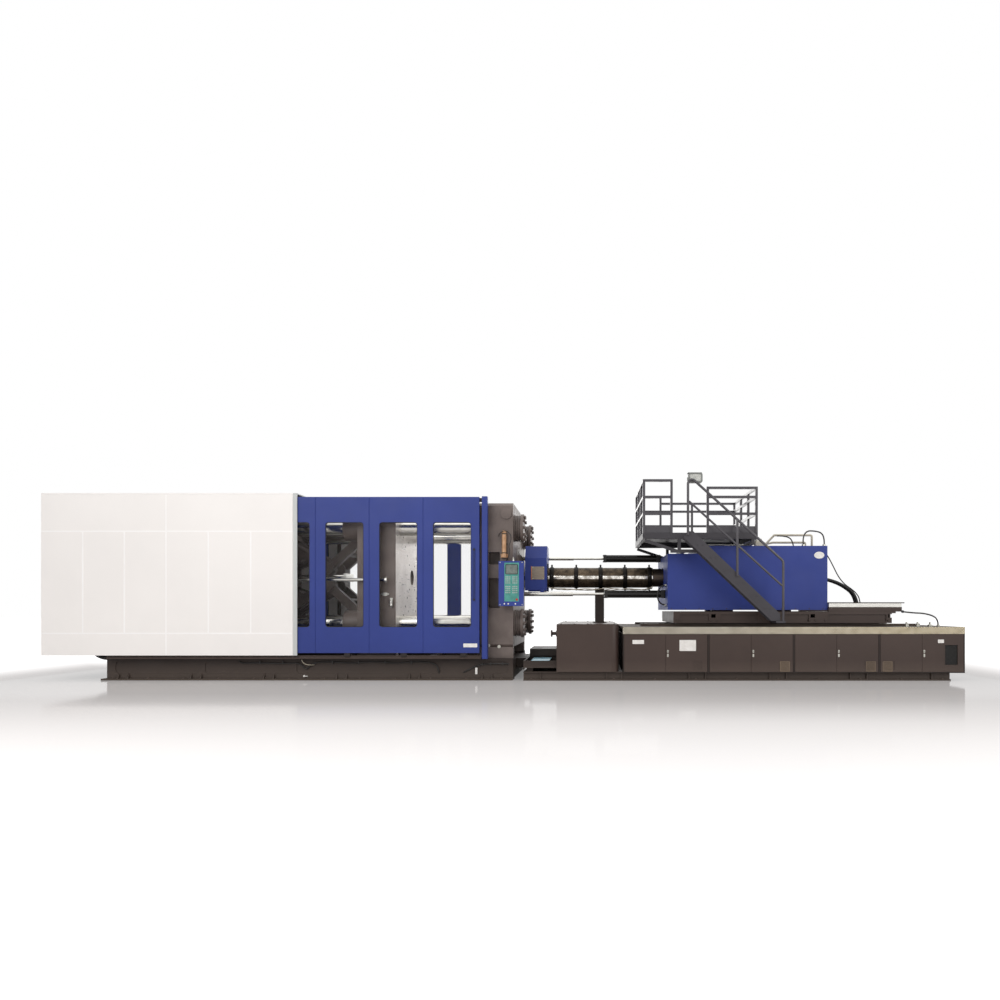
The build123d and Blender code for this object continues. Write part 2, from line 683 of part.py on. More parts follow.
def cover_shell():
    """The roof and the end wall of the white cover."""
    wall = FRONT_Y - COVER_SHEET
    roof = block(CLAMP_END_X, COVER_X1, -FRONT_Y, FRONT_Y, COVER_Z1 - COVER_SHEET, COVER_Z1)
    end = block(CLAMP_END_X, CLAMP_END_X + COVER_SHEET, -wall, wall, COVER_Z0, COVER_Z1 - COVER_SHEET)
    return [roof, end]


def cover_frame():
    """Posts and rails that carry the cover and guide the sliding doors."""
    parts = []
    for side in (-1, 1):
        y0, y1 = sorted((side * 1252, side * 1222))
        parts.append(block(CLAMP_END_X + 25, CLAMP_END_X + 85, y0, y1, 385, COVER_Z1 - COVER_SHEET))
        for x in (COVER_SPLIT_X - 30, COVER_X1 - 200):
            parts.append(block(x, x + 60, y0, y1, BASE_TOP + 20, COVER_Z1 - COVER_SHEET))
        y0, y1 = sorted((side * (FRONT_Y - COVER_SHEET - 9), side * (FRONT_Y - COVER_SHEET)))
        parts.append(block(CLAMP_END_X + 25, COVER_X1 - 200, y0, y1, 385, 400))
        y0, y1 = sorted((side * (BASE_Y + 130), side * (BASE_Y - 40)))
        track = block(BASE_X0 + 60, POST_X0 - 10, y0, y1, BASE_TOP, TRACK_TOP)
        rib0, rib1 = sorted((side * (TRACK_RIB_Y - TRACK_RIB / 2), side * (TRACK_RIB_Y + TRACK_RIB / 2)))
        parts.append(track + block(BASE_X0 + 60, POST_X0 - 10, rib0, rib1, TRACK_TOP, TRACK_TOP + TRACK_RIB_HEIGHT))
        y0, y1 = sorted((side * 1250, side * 1200))
        parts.append(block(COVER_X1 - 140, POST_X0, y0, y1, 2702, 2760))
    return parts


def gate_posts():
    parts = []
    for side in (-1, 1):
        y0, y1 = sorted((side * (FRONT_Y - 25), side * (FRONT_Y - 25 - POST_DEPTH)))
        post = block(POST_X0, POST_X1, y0, y1, BASE_TOP, POST_TOP)
        parts.append(fillet(post.edges().filter_by(Axis.Z), 8))
    return parts


# Sliding doors
def window_edges(index):
    x1 = WINDOW_LAST_X - index * DOOR_PANEL
    return x1 - WINDOW_WIDTH, x1


def sliding_door(side):
    outer = side * (FRONT_Y - COVER_SHEET - DOOR_PLAY)
    inner = outer - side * DOOR_THICKNESS
    y0, y1 = sorted((outer, inner))
    body = block(DOOR_X0, DOOR_X1, y0, y1, DOOR_Z0, DOOR_Z1)
    for i in range(4):
        x0, x1 = window_edges(i)
        body -= pocket(x0, x1, WINDOW_Z0, WINDOW_Z1, (y0 + y1) / 2, DOOR_THICKNESS, WINDOW_CORNER)
    for i in range(1, 4):
        x = DOOR_X1 - 36 - i * DOOR_PANEL
        g0, g1 = sorted((outer + side, outer - side * DOOR_GROOVE))
        body -= block(x - 3, x + 3, g0, g1, DOOR_Z0 - 1, DOOR_Z1 + 1)
    parts = [body]
    h0, h1 = sorted((outer, outer + side * 9))
    parts.append(block(HANDLE_X - 12, HANDLE_X + 12, h0, h1, HANDLE_Z0, HANDLE_Z1))
    for x in (DOOR_X0 + 300, -2350, -1500, -600):
        shoe0, shoe1 = sorted((side * (TRACK_RIB_Y - 22), side * (TRACK_RIB_Y + 22)))
        shoe = block(x - 45, x + 45, shoe0, shoe1, TRACK_TOP + 10, DOOR_Z0)
        half = TRACK_RIB / 2 + PIN_PLAY
        slot0, slot1 = sorted((side * (TRACK_RIB_Y - half), side * (TRACK_RIB_Y + half)))
        slot_top = TRACK_TOP + TRACK_RIB_HEIGHT + PIN_PLAY
        parts.append(shoe - block(x - 46, x + 46, slot0, slot1, TRACK_TOP + 9, slot_top))
    return parts


def door_panes(side):
    middle = side * (FRONT_Y - COVER_SHEET - DOOR_PLAY - DOOR_THICKNESS / 2)
    panes = []
    for i in range(4):
        x0, x1 = window_edges(i)
        shape = RectangleRounded(x1 - x0, WINDOW_Z1 - WINDOW_Z0, WINDOW_CORNER)
        plane = Plane(((x0 + x1) / 2, middle, (WINDOW_Z0 + WINDOW_Z1) / 2), x_dir=(1, 0, 0), z_dir=(0, -1, 0))
        panes.append(extrude(plane * shape, PANE / 2, both=True))
    return panes


# Injection base
def injection_base():
    parts = []
    parts.append(block(BED_X0, BED_X1, -PLINTH_Y, PLINTH_Y, 0, 20))
    wall = 25
    for side in (-1, 1):
        y0, y1 = sorted((side * (PLINTH_Y - 40), side * (PLINTH_Y - 40 - wall)))
        parts.append(block(BED_X0, BED_X1, y0, y1, 20, PLINTH_TOP))
        for x in (545, 1550, 1775, 2790, 3040, 4010, 4260, 5225, 5475, 6450):
            rib0, rib1 = sorted((side * (PLINTH_Y - 40), side * (PLINTH_Y - 5)))
            parts.append(block(x, x + 16, rib0, rib1, 20, PLINTH_TOP))
    inner = PLINTH_Y - 40 - wall
    for x in (BED_X0, BED_X1 - wall):
        parts.append(block(x, x + wall, -inner, inner, 20, PLINTH_TOP))
    parts.append(block(BED_X0, CABINET_X0, -PLINTH_Y, PLINTH_Y, PLINTH_TOP, PLINTH_TOP + 15))
    parts += tray()
    return parts


def tray():
    """The shallow trough between the fixed platen and the tank box, and the link to the clamp base."""
    z0, z1 = 210, 300
    parts = [block(BED_X0, TANK_X0, -1280, 1280, z0 - 20, z0)]
    for side in (-1, 1):
        y0, y1 = sorted((side * 1280, side * 1260))
        parts.append(block(BED_X0, TANK_X0, y0, y1, z0, z1))
        y0, y1 = sorted((side * 1200, side * 1100))
        parts.append(block(BED_X0 + 40, BED_X0 + 140, y0, y1, PLINTH_TOP + 15, z0 - 20))
    parts.append(block(BED_X0, BED_X0 + 20, -1260, 1260, z0, z1))
    parts.append(block(BED_X0 + 40, TANK_X0, -500, 500, 330, 440))
    parts.append(block(BED_X0 + 40, TANK_X0, -460, 460, z0, 330))
    parts.append(block(BASE_X1, BED_X0, -620, 620, 150, 300))
    return parts


def tank_box():
    """The plain oil tank cover with its rounded corner, and the suction flange on its end."""
    body = block(TANK_X0, TANK_X1, -FRONT_Y + 20, FRONT_Y - 20, TANK_Z0, TANK_Z1)
    corners = body.edges().filter_by(Axis.Z).sort_by(Axis.X)[-2:]
    body = fillet(corners, TANK_CORNER)
    parts = [body]
    parts.append(bar_x(TANK_X0 - 105, TANK_X0 - 80, -900, 700, 52))
    parts.append(bar_x(TANK_X0 - 80, TANK_X0 - 25, -900, 700, 26))
    parts.append(bar_x(TANK_X0 - 25, TANK_X0, -900, 700, 45))
    return parts


def cabinet_frame():
    """The row of cabinets under the deck: partitions, floor, far wall and end panel."""
    parts = []
    end = CABINET_X0 + BAYS * BAY
    back = FRONT_Y - 2
    parts.append(block(CABINET_X0, end, -back, back, PLINTH_TOP, PLINTH_TOP + 12))
    z0 = PLINTH_TOP + 12
    for i in range(BAYS + 1):
        x = CABINET_X0 + i * BAY
        x0 = max(CABINET_X0, x - 14)
        x1 = min(end, x + 14)
        parts.append(block(x0, x1, -back, back - 12, z0, CABINET_TOP))
    parts.append(block(CABINET_X0, end, back - 12, back, z0, CABINET_TOP))
    parts.append(block(CABINET_X0, end, 8 - FRONT_Y, 50 - FRONT_Y, CABINET_TOP, CABINET_TOP + 15))
    for i in range(2 * BAYS):
        x, y = door_hinge(i)
        parts.append(bar_z(x, y, z0, z0 + LEAF_GAP + HINGE_DEPTH, HINGE_PIN))
        parts.append(bar_z(x, y, CABINET_TOP - LEAF_GAP - HINGE_DEPTH, CABINET_TOP, HINGE_PIN))
    return parts


def deck():
    """The chequered walkway over the cabinets, folded down along both sides."""
    end = CABINET_X0 + BAYS * BAY
    parts = [block(CABINET_X0, end, -FRONT_Y, FRONT_Y, DECK_TOP - DECK_PLATE, DECK_TOP)]
    for side in (-1, 1):
        y0, y1 = sorted((side * FRONT_Y, side * (FRONT_Y - 8)))
        parts.append(block(CABINET_X0, end, y0, y1, CABINET_TOP, DECK_TOP - DECK_PLATE))
        y0, y1 = sorted((side * (FRONT_Y - 60), side * (FRONT_Y - 160)))
        parts.append(block(CABINET_X0, end, y0, y1, CABINET_TOP, DECK_TOP - DECK_PLATE))
    return parts


def cabinet_door(index):
    """One hinged leaf. Even leaves hang on their left edge, odd ones on their right edge."""
    bay_x = CABINET_X0 + (index // 2) * BAY
    half = BAY / 2
    left = index % 2 == 0
    x0 = bay_x + LEAF_SIDE if left else bay_x + half + LEAF_GAP / 2
    x1 = bay_x + half - LEAF_GAP / 2 if left else bay_x + BAY - LEAF_SIDE
    y0 = -FRONT_Y + 2
    z0 = PLINTH_TOP + 12 + LEAF_GAP
    z1 = CABINET_TOP - LEAF_GAP
    leaf = block(x0, x1, y0, y0 + DOOR_LEAF, z0, z1)
    pin_x, pin_y = door_hinge(index)
    for low, high in ((z0 - 1, z0 + HINGE_DEPTH + 2), (z1 - HINGE_DEPTH - 2, z1 + 1)):
        leaf -= bar_z(pin_x, pin_y, low, high, HINGE_PIN + PIN_PLAY)
    if index == 7:
        leaf -= pocket(x1 - 290, x1 - 90, 240, 540, y0, 14, 6)
    if index in (1, 3, 5, 6):
        vx = x0 + 75 if index == 6 else x1 - 210
        leaf -= pocket(vx, vx + 135, 165, 300, y0, 4, 8)
        for i in range(6):
            z = 180 + i * 20
            leaf += block(vx + 10, vx + 125, y0 + 1, y0 + 5, z, z + 9)
    if not left:
        leaf += block(x0 + 22, x0 + 44, y0 - 1.8, y0 + 1, 385, 465)
    return leaf


def door_hinge(index):
    """Where a cabinet leaf turns: pins near its outer edge, top and bottom."""
    bay_x = CABINET_X0 + (index // 2) * BAY
    inset = LEAF_SIDE + HINGE_INSET
    x = bay_x + inset if index % 2 == 0 else bay_x + BAY - inset
    return x, -FRONT_Y + 2 + HINGE_INSET


def barrel_support():
    """The column that carries the barrel, standing on the base."""
    x0 = COLUMN_X - COLUMN_HALF
    x1 = COLUMN_X + COLUMN_HALF
    foot = block(x0 - 40, x1 + 40, -115, 115, TANK_Z1, TANK_Z1 + 20)
    post = block(x0, x1, -70, 70, TANK_Z1 + 20, AXIS_Z - BAND_RADIUS - 26)
    head = block(x0, x1, -110, 110, AXIS_Z - BAND_RADIUS - 26, AXIS_Z - BAND_RADIUS - 2)
    return [foot, post, head]


# Injection carriage
def sled():
    parts = []
    parts.append(block(SLED_X0, SLED_X1, -SLED_Y, SLED_Y, SLED_Z1 - SLED_PLATE, SLED_Z1))
    pads = ((2700, 3150), (3330, 3900), (4200, 4700), (5000, 5900))
    for side in (-1, 1):
        outer = side * SLED_Y
        y0, y1 = sorted((outer, side * (SLED_Y - 60)))
        wall = block(SLED_X0, SLED_X1 - 60, y0, y1, SLED_Z0 + 12, SLED_Z1 - SLED_PLATE)
        for x0, x1 in pads:
            wall -= pocket(x0, x1, SLED_Z0 + 30, SLED_Z1 - 45, outer, 22, 8)
        for x in (3220, 4760, 5960):
            wall -= pocket(x - 35, x + 35, SLED_Z1 - 95, SLED_Z1 - 40, outer, 61, 4)
        parts.append(wall)
        y = side * RAIL_Y
        for x0, x1 in ((SLED_X0 + 60, SLED_X0 + 560), (SLED_X1 - 700, SLED_X1 - 200)):
            shoe = block(x0, x1, y - 80, y + 80, DECK_TOP + RAIL_HEIGHT + 0.1, SLED_Z1 - SLED_PLATE)
            parts.append(shoe)
        y0, y1 = sorted((side * (TOP_RAIL_Y - 40), side * (TOP_RAIL_Y + 40)))
        parts.append(block(HOOD_X1 + 3, SLED_X1 + 110, y0, y1, SLED_Z1, SLED_Z1 + 70))
    for x in (SLED_X0, SLED_X1 - 85):
        gap = SLED_Y - 60
        parts.append(block(x, x + 25, -gap, gap, SLED_Z0 + 12, SLED_Z1 - SLED_PLATE))
    return parts


def injection_cover():
    """The blue hood over the injection unit, in bent sheet panels."""
    parts = []
    t = HOOD_SHEET
    for side in (-1, 1):
        y0, y1 = sorted((side * HOOD_Y, side * (HOOD_Y - t)))
        points = [
            (HOOD_X0, HOOD_Z0),
            (HOOD_X1, HOOD_Z0),
            (HOOD_X1, HOOD_Z1),
            (HOOD_STEP_X, HOOD_Z1),
            (HOOD_STEP_X, HOOD_STEP_Z),
            (HOOD_X0, HOOD_STEP_Z),
        ]
        wire = Polyline([(x, y0, z) for x, z in points], close=True)
        parts.append(extrude(make_face(wire), t, dir=(0, 1, 0)))
    inner = HOOD_Y - t
    parts.append(block(HOOD_X0, HOOD_STEP_X, -inner, inner, HOOD_STEP_Z - t, HOOD_STEP_Z))
    parts.append(block(HOOD_STEP_X, HOOD_X1, -inner, inner, HOOD_Z1 - t, HOOD_Z1))
    parts.append(block(HOOD_STEP_X, HOOD_STEP_X + t, -inner, inner, HOOD_STEP_Z, HOOD_Z1 - t))
    front = block(HOOD_X0, HOOD_X0 + t, -inner, inner, HOOD_Z0, HOOD_STEP_Z - t)
    parts.append(front - bar_x(HOOD_X0 - 1, HOOD_X0 + t + 1, 0, AXIS_Z, BARREL_RADIUS + 20))
    parts.append(block(HOOD_X1 - t, HOOD_X1, -inner, inner, HOOD_Z0, HOOD_Z1 - t))
    parts[3] = parts[3] - bar_z(THROAT_X, 0, HOOD_Z1 - t - 1, HOOD_Z1 + 1, THROAT_RADIUS + 30)
    return parts


def barrel():
    """The heated barrel with its nozzle, the feed housing at its root and the screw drive."""
    body = bar_x(BARREL_X0, BARREL_X1, 0, AXIS_Z, BARREL_RADIUS)
    tip = BARREL_X0 - NOZZLE_TAPER
    body += Pos(BARREL_X0 - NOZZLE_TAPER / 2, 0, AXIS_Z) * Rot(0, -90, 0) * Cone(
        BARREL_RADIUS, NOZZLE_RADIUS, NOZZLE_TAPER
    )
    body += bar_x(NOZZLE_TIP_X, tip, 0, AXIS_Z, 40)
    z0 = AXIS_Z - 370
    z1 = AXIS_Z + 300
    feed0 = THROAT_X - 230
    feed1 = THROAT_X + 230
    feed = block(feed0, feed1, -420, 420, z0, z1) - bar_x(feed0 - 1, feed1 + 1, 0, AXIS_Z, BARREL_RADIUS)
    feed -= bar_z(THROAT_X, 0, AXIS_Z, z1 + 1, THROAT_RADIUS)
    throat = bar_z(THROAT_X, 0, z1, HOOD_Z1 + 60, THROAT_RADIUS + 25)
    throat -= bar_z(THROAT_X, 0, z1 - 1, HOOD_Z1 + 61, THROAT_RADIUS)
    drive0 = THROAT_X + 850
    drive1 = drive0 + 300
    drive = block(drive0, drive1, -420, 420, z0, z1)
    parts = [body, feed, throat, drive]
    for s in (-1, 1):
        y0, y1 = sorted((s * 230, s * 410))
        parts.append(block(feed0 + 60, feed1 - 60, y0, y1, SLED_Z1, z0))
        parts.append(block(drive0 + 40, drive1 - 40, y0, y1, SLED_Z1, z0))
        parts.append(bar_x(feed1, drive0, s * 280, AXIS_Z, 70))
    parts.append(bar_x(drive1, HOOD_X1 - 60, 0, AXIS_Z, 210))
    parts.append(bar_x(feed1, drive0, 0, AXIS_Z, 55))
    return parts


def heater_covers():
    """Perforated heater covers along the barrel with their clamping bands."""
    parts = []
    x = BARREL_COVER_X0
    for i in range(5):
        band_x = BAND_FIRST_X + i * BAND_PITCH
        parts.append(ring_x(x, band_x - BAND_WIDTH / 2, BARREL_COVER_RADIUS))
        band = ring_x(band_x - BAND_WIDTH / 2, band_x + BAND_WIDTH / 2, BAND_RADIUS)
        lug = block(band_x - 14, band_x + 14, -12, 12, AXIS_Z + BAND_RADIUS - 3, AXIS_Z + BAND_RADIUS + 42)
        parts.append(band + lug)
        x = band_x + BAND_WIDTH / 2
    parts.append(ring_x(x, BARREL_COVER_X1, BARREL_COVER_RADIUS))
    return parts


def ring_x(x0, x1, radius):
    return bar_x(x0, x1, 0, AXIS_Z, radius) - bar_x(x0 - 1, x1 + 1, 0, AXIS_Z, BARREL_RADIUS)


def carriage_cylinders():
    parts = []
    for y, z in ((-CYL_Y, CYL_LOW_Z), (CYL_Y, CYL_HIGH_Z)):
        tube = bar_x(CYL_X0, CYL_X1, y, z, CYL_RADIUS - 12)
        for x0, x1 in ((CYL_X0 - 50, CYL_X0), (CYL_X1 - 60, CYL_X1)):
            tube += block(x0, x1, y - CYL_RADIUS, y + CYL_RADIUS, z - CYL_RADIUS, z + CYL_RADIUS)
        for sy in (-1, 1):
            for sz in (-1, 1):
                tube += bar_x(CYL_X0 - 60, CYL_X1, y + sy * 50, z + sz * 50, 9)
        tube -= bar_x(CYL_X0 - 61, CYL_X1 - 60, y, z, CYL_ROD_RADIUS + PIN_PLAY)
        bracket = block(CYL_X1, HOOD_X0, y - 60, y + 60, z - 60, z + 60)
        parts += [tube, bracket]
    return parts


def purge_guard():
    """The blue guard over the nozzle, open below and towards the platen."""
    t = GUARD_SHEET
    parts = []
    points = [
        (-GUARD_Y, GUARD_Z0),
        (-GUARD_Y, GUARD_FOLD_Z),
        (-GUARD_TOP_Y, GUARD_Z1),
        (GUARD_TOP_Y, GUARD_Z1),
        (GUARD_Y, GUARD_FOLD_Z),
        (GUARD_Y, GUARD_Z0),
    ]
    inner = [
        (GUARD_Y - t, GUARD_Z0),
        (GUARD_Y - t, GUARD_FOLD_Z - t / 2),
        (GUARD_TOP_Y - t / 2, GUARD_Z1 - t),
        (-GUARD_TOP_Y + t / 2, GUARD_Z1 - t),
        (-GUARD_Y + t, GUARD_FOLD_Z - t / 2),
        (-GUARD_Y + t, GUARD_Z0),
    ]
    wire = Polyline([(GUARD_X0, y, z) for y, z in points + inner], close=True)
    hood = extrude(make_face(wire), GUARD_X1 - GUARD_X0, dir=(1, 0, 0))
    end_wire = Polyline([(GUARD_X1, y, z) for y, z in points], close=True)
    end = extrude(make_face(end_wire), 14, dir=(1, 0, 0))
    end -= block(GUARD_X1 - 1, GUARD_X1 + 15, -GUARD_HOLE, GUARD_HOLE, GUARD_Z0 - 1, AXIS_Z + GUARD_HOLE)
    parts.append(hood)
    parts.append(end)
    plate_x = GUARD_X0 + 110
    parts.append(block(plate_x, plate_x + 205, -GUARD_Y - 3, -GUARD_Y, 1560, 1770))
    for side in (-1, 1):
        y0, y1 = sorted((side * GUARD_Y, side * (GUARD_RAIL_Y + 22)))
        lug = block(GUARD_LUG_X, GUARD_LUG_X + GUARD_LUG, y0, y1, GUARD_RAIL_Z - 18, GUARD_Z0 + 20)
        hole = bar_x(GUARD_LUG_X - 1, GUARD_LUG_X + GUARD_LUG + 1, side * GUARD_RAIL_Y, GUARD_RAIL_Z,
                     GUARD_RAIL_RADIUS + PIN_PLAY)
        parts.append(lug - hole)
    return parts


# Operator panel
def panel_housing():
    y1 = -FRONT_Y + 5 + PANEL_DEPTH
    body = block(PANEL_X0, PANEL_X1, y1 - PANEL_DEPTH, y1, PANEL_Z0, PANEL_Z1)
    body = fillet(body.edges().filter_by(Axis.Y), 14)
    y0 = y1 - PANEL_DEPTH
    body -= block(KEYPAD_X0 - 0.5, KEYPAD_X1 + 0.5, y0 - 1, y0 + KEYPAD_SHEET, KEYPAD_Z0 - 0.5, KEYPAD_Z1 + 0.5)
    for x, z, radius in buttons():
        body -= bar_y(x, y0 - 1, y0 + 30, z, radius + 0.1)
    lug = block(90, 150, y1, PANEL_PIVOT_Y - 22, 1382, 1498) + bar_z(120, PANEL_PIVOT_Y, 1382, 1498, 30)
    pin = bar_z(120, PANEL_PIVOT_Y, 1338, 1542, PANEL_PIVOT_RADIUS)
    link = block(100, 140, y1, PANEL_PIVOT_Y, 1400, 1480)
    return [body, lug + link + pin]


def buttons():
    """Centre and radius of the three push buttons at the foot of the panel and the stop button."""
    return [(20, 1158, BUTTON_RADIUS), (78, 1158, BUTTON_RADIUS), (185, 1158, BUTTON_RADIUS), (205, 1222, STOP_RADIUS)]


def keypad():
    y0 = -FRONT_Y + 5
    sheet = block(KEYPAD_X0, KEYPAD_X1, y0, y0 + KEYPAD_SHEET, KEYPAD_Z0, KEYPAD_Z1)
    for x, z, radius in buttons():
        sheet -= bar_y(x, y0 - 1, y0 + 10, z, radius + 0.1)
    return sheet


def button(index):
    x, z, radius = buttons()[index]
    y0 = -FRONT_Y + 5
    stem = bar_y(x, y0, y0 + 22, z, radius)
    cap = bar_y(x, y0 - 4.8, y0, z, radius - 1)
    return stem + cap


# Platform and stairs
def platform():
    """The work platform's floor, fascia beams and brackets down to the hood."""
    parts = [block(FLOOR_X0, FLOOR_X1, FLOOR_Y0, FLOOR_Y1, FLOOR_Z - 12, FLOOR_Z)]
    hole = block(3330, 3570, -120, 120, FLOOR_Z - 13, FLOOR_Z + 1)
    parts[0] -= hole
    beam = 50
    z0 = FLOOR_Z - FLOOR_BEAM
    parts.append(block(FLOOR_X0, FLOOR_X1, FLOOR_Y0, FLOOR_Y0 + beam, z0, FLOOR_Z - 12))
    parts.append(block(FLOOR_X0, FLOOR_X1, FLOOR_Y1 - beam, FLOOR_Y1, z0, FLOOR_Z - 12))
    for x in (FLOOR_X0, FLOOR_X1 - beam):
        parts.append(block(x, x + beam, FLOOR_Y0 + beam, FLOOR_Y1 - beam, z0, FLOOR_Z - 12))
    top = HOOD_STEP_Z + beam
    for y in (FLOOR_Y0, FLOOR_Y1 - beam):
        sill = block(HOOD_X0 + 20, 3040, y, y + beam, HOOD_STEP_Z, top)
        sill += strut_xz(FLOOR_X0 + 30, z0 - 20, HOOD_X0 + 110, top - 22, y + 5, y + beam - 5, 46)
        parts.append(sill - block(FLOOR_X0 - 100, FLOOR_X1, y - 1, y + beam + 1, z0, FLOOR_Z))
        parts.append(block(2650, 2700, y, y + beam, top, z0))
        parts.append(block(3780, 3830, y, y + beam, HOOD_Z1 + beam, z0))
    parts.append(block(2720, 2770, FLOOR_Y0 + beam, FLOOR_Y1 - beam, HOOD_STEP_Z, top))
    parts.append(block(3780, 3830, FLOOR_Y0, FLOOR_Y1, HOOD_Z1, HOOD_Z1 + beam))
    return parts


def strut_xz(x0, z0, x1, z1, y0, y1, width):
    """A flat brace in a plane of constant Y."""
    length = math.hypot(x1 - x0, z1 - z0)
    turn = -math.degrees(math.atan2(z1 - z0, x1 - x0))
    return Pos((x0 + x1) / 2, (y0 + y1) / 2, (z0 + z1) / 2) * Rot(0, turn, 0) * Box(length, y1 - y0, width)


def handrails():
    """Square-tube posts and rails round the platform."""
    t = TUBE
    parts = []
    xs_left = (FLOOR_X0 + t, FLOOR_X0 + 440)
    bottom = FLOOR_Z
    for y in (FLOOR_Y0 + t, FLOOR_Y1 - t):
        for x in xs_left:
            parts.append(block(x - t, x + t, y - t, y + t, bottom, RAIL_TOP - 2 * t))
        parts.append(block(xs_left[0] - t, xs_left[1] + t, y - t, y + t, RAIL_TOP - 2 * t, RAIL_TOP))
        for z in MIDDLE_RAILS:
            parts.append(block(xs_left[0] + t, xs_left[1] - t, y - t, y + t, z - t, z + t))
        parts.append(block(xs_left[0] + t, xs_left[1] - t, y - 3, y + 3, bottom, bottom + TOE_BOARD))
    ends = ((FLOOR_X0 + t, RAIL_TOP), (FLOOR_X1 - t, RAIL_LOW_TOP))
    for x, top in ends:
        span0 = FLOOR_Y0 + 2 * t
        span1 = FLOOR_Y1 - 2 * t
        parts.append(block(x - t, x + t, span0, span1, top - 2 * t, top))
        for z in MIDDLE_RAILS:
            parts.append(block(x - t, x + t, span0, span1, z - t, z + t))
        for i in (1, 2):
            y = span0 + i * (span1 - span0) / 3
            high, low = MIDDLE_RAILS
            parts.append(block(x - t, x + t, y - t, y + t, bottom, low - t))
            parts.append(block(x - t, x + t, y - t, y + t, low + t, high - t))
            parts.append(block(x - t, x + t, y - t, y + t, high + t, top - 2 * t))
    back = FLOOR_Y1 - t
    for z in (RAIL_LOW_TOP - t,) + MIDDLE_RAILS:
        parts.append(block(xs_left[1] + t, 3110 - t, back - t, back + t, z - t, z + t))
    for y in (FLOOR_Y0 + t, back):
        parts.append(block(3110 + t, FLOOR_X1 - 2 * t, y - 3, y + 3, bottom, bottom + TOE_BOARD))
        for x in (3110, FLOOR_X1 - t):
            low_top = RAIL_LOW_TOP - 2 * t
            parts.append(block(x - t, x + t, y - t, y + t, bottom, low_top))
        parts.append(block(3110 - t, FLOOR_X1, y - t, y + t, RAIL_LOW_TOP - 2 * t, RAIL_LOW_TOP))
        for z in MIDDLE_RAILS:
            parts.append(block(3110 + t, FLOOR_X1 - 2 * t, y - t, y + t, z - t, z + t))
    return parts


def stair_point(s):
    """A point on the line of tread noses, s from 0 at the foot to 1 at the top."""
    x = STAIR_FOOT_X + s * (STAIR_TOP_X - STAIR_FOOT_X)
    z = STAIR_FOOT_Z + s * (FLOOR_Z - STAIR_FOOT_Z)
    return x, z


def stair_rails():
    """The round handrail, lower rail and post along the stairs."""
    rails = []
    knee_z = STAIR_FOOT_Z + 900
    y = STAIR_Y0 + TUBE + 1
    foot_x = STAIR_FOOT_X + 20
    top_x = STAIR_TOP_X + 8
    paths = []
    paths.append([(top_x, y, FLOOR_Z - 60), (top_x, y, RAIL_TOP + 30), (foot_x, y, knee_z), (foot_x, y, STAIR_FOOT_Z)])
    for path in paths:
        line = FilletPolyline(*path, radius=60)
        rails.append(sweep(Plane(line @ 0, z_dir=line % 0) * Circle(TUBE), path=line))
    lower = [(top_x + TUBE - 3, y, RAIL_TOP - 369), (foot_x - TUBE + 3, y, knee_z - 370)]
    low_line = Line(*lower)
    rails.append(sweep(Plane(low_line @ 0, z_dir=low_line % 0) * Circle(TUBE - 3), path=low_line))
    middle_x = 3520
    x_ratio = (middle_x - top_x) / (foot_x - top_x)
    z_top = RAIL_TOP + 11 + x_ratio * (knee_z - RAIL_TOP - 11)
    share = (STAIR_FOOT_X - middle_x) / (STAIR_FOOT_X - STAIR_TOP_X)
    rails.append(bar_z(middle_x, y, stair_point(share)[1] + 33, z_top, TUBE))
    joined = rails[0]
    for extra in rails[1:]:
        joined += extra
    return [joined]


def stairs():
    parts = []
    length = math.hypot(STAIR_TOP_X - STAIR_FOOT_X, FLOOR_Z - STAIR_FOOT_Z)
    turn = math.degrees(math.atan2(FLOOR_Z - STAIR_FOOT_Z, STAIR_FOOT_X - STAIR_TOP_X))
    mid_x, mid_z = stair_point(0.5)
    offset = STRINGER_DEPTH / 2
    for y in (STAIR_Y0 + 2 * TUBE + 1, STAIR_Y1 - STRINGER):
        board = Pos(mid_x, y + STRINGER / 2, mid_z - 30) * Rot(0, turn, 0) * Box(length, STRINGER, STRINGER_DEPTH)
        board -= block(2000, STAIR_TOP_X - 50, y - 1, y + STRINGER + 1, 0, 3000)
        board -= block(STAIR_FOOT_X - 20, 4600, y - 1, y + STRINGER + 1, 0, 3000)
        board -= block(2000, 4600, y - 1, y + STRINGER + 1, FLOOR_Z + 1, 3000)
        board -= block(2000, 4600, y - 1, y + STRINGER + 1, 0, STAIR_FOOT_Z)
        parts.append(board)
    inner0 = STAIR_Y0 + 2 * TUBE + 1 + STRINGER
    inner1 = STAIR_Y1 - STRINGER
    for i in range(1, TREADS + 1):
        x, z = stair_point(i / (TREADS + 1))
        parts.append(block(x - 110, x + 90, inner0, inner1, z - 25, z))
    parts.append(block(4100, 4240, STAIR_Y0 + 1, -SLED_Y, STAIR_FOOT_Z - 30, STAIR_FOOT_Z))
    return parts


def hopper_plate():
    """The bright hopper slide plate over the feed throat, on four stand-offs."""
    plate = block(3060, 3840, -190, 190, HOOD_Z1 + 60, HOOD_Z1 + 80)
    plate -= bar_z(THROAT_X, 0, HOOD_Z1 + 59, HOOD_Z1 + 81, THROAT_RADIUS)
    for x in (THROAT_X - HOPPER_BOLTS / 2, THROAT_X + HOPPER_BOLTS / 2):
        for y in (-HOPPER_BOLTS / 2, HOPPER_BOLTS / 2):
            plate -= bar_z(x, y, HOOD_Z1 + 59, HOOD_Z1 + 81, HOPPER_HOLE_RADIUS)
    legs = [bar_z(x, y, HOOD_Z1, HOOD_Z1 + 60, 16) for x in (3110, 3740) for y in (-170, 170)]
    return [plate] + legs


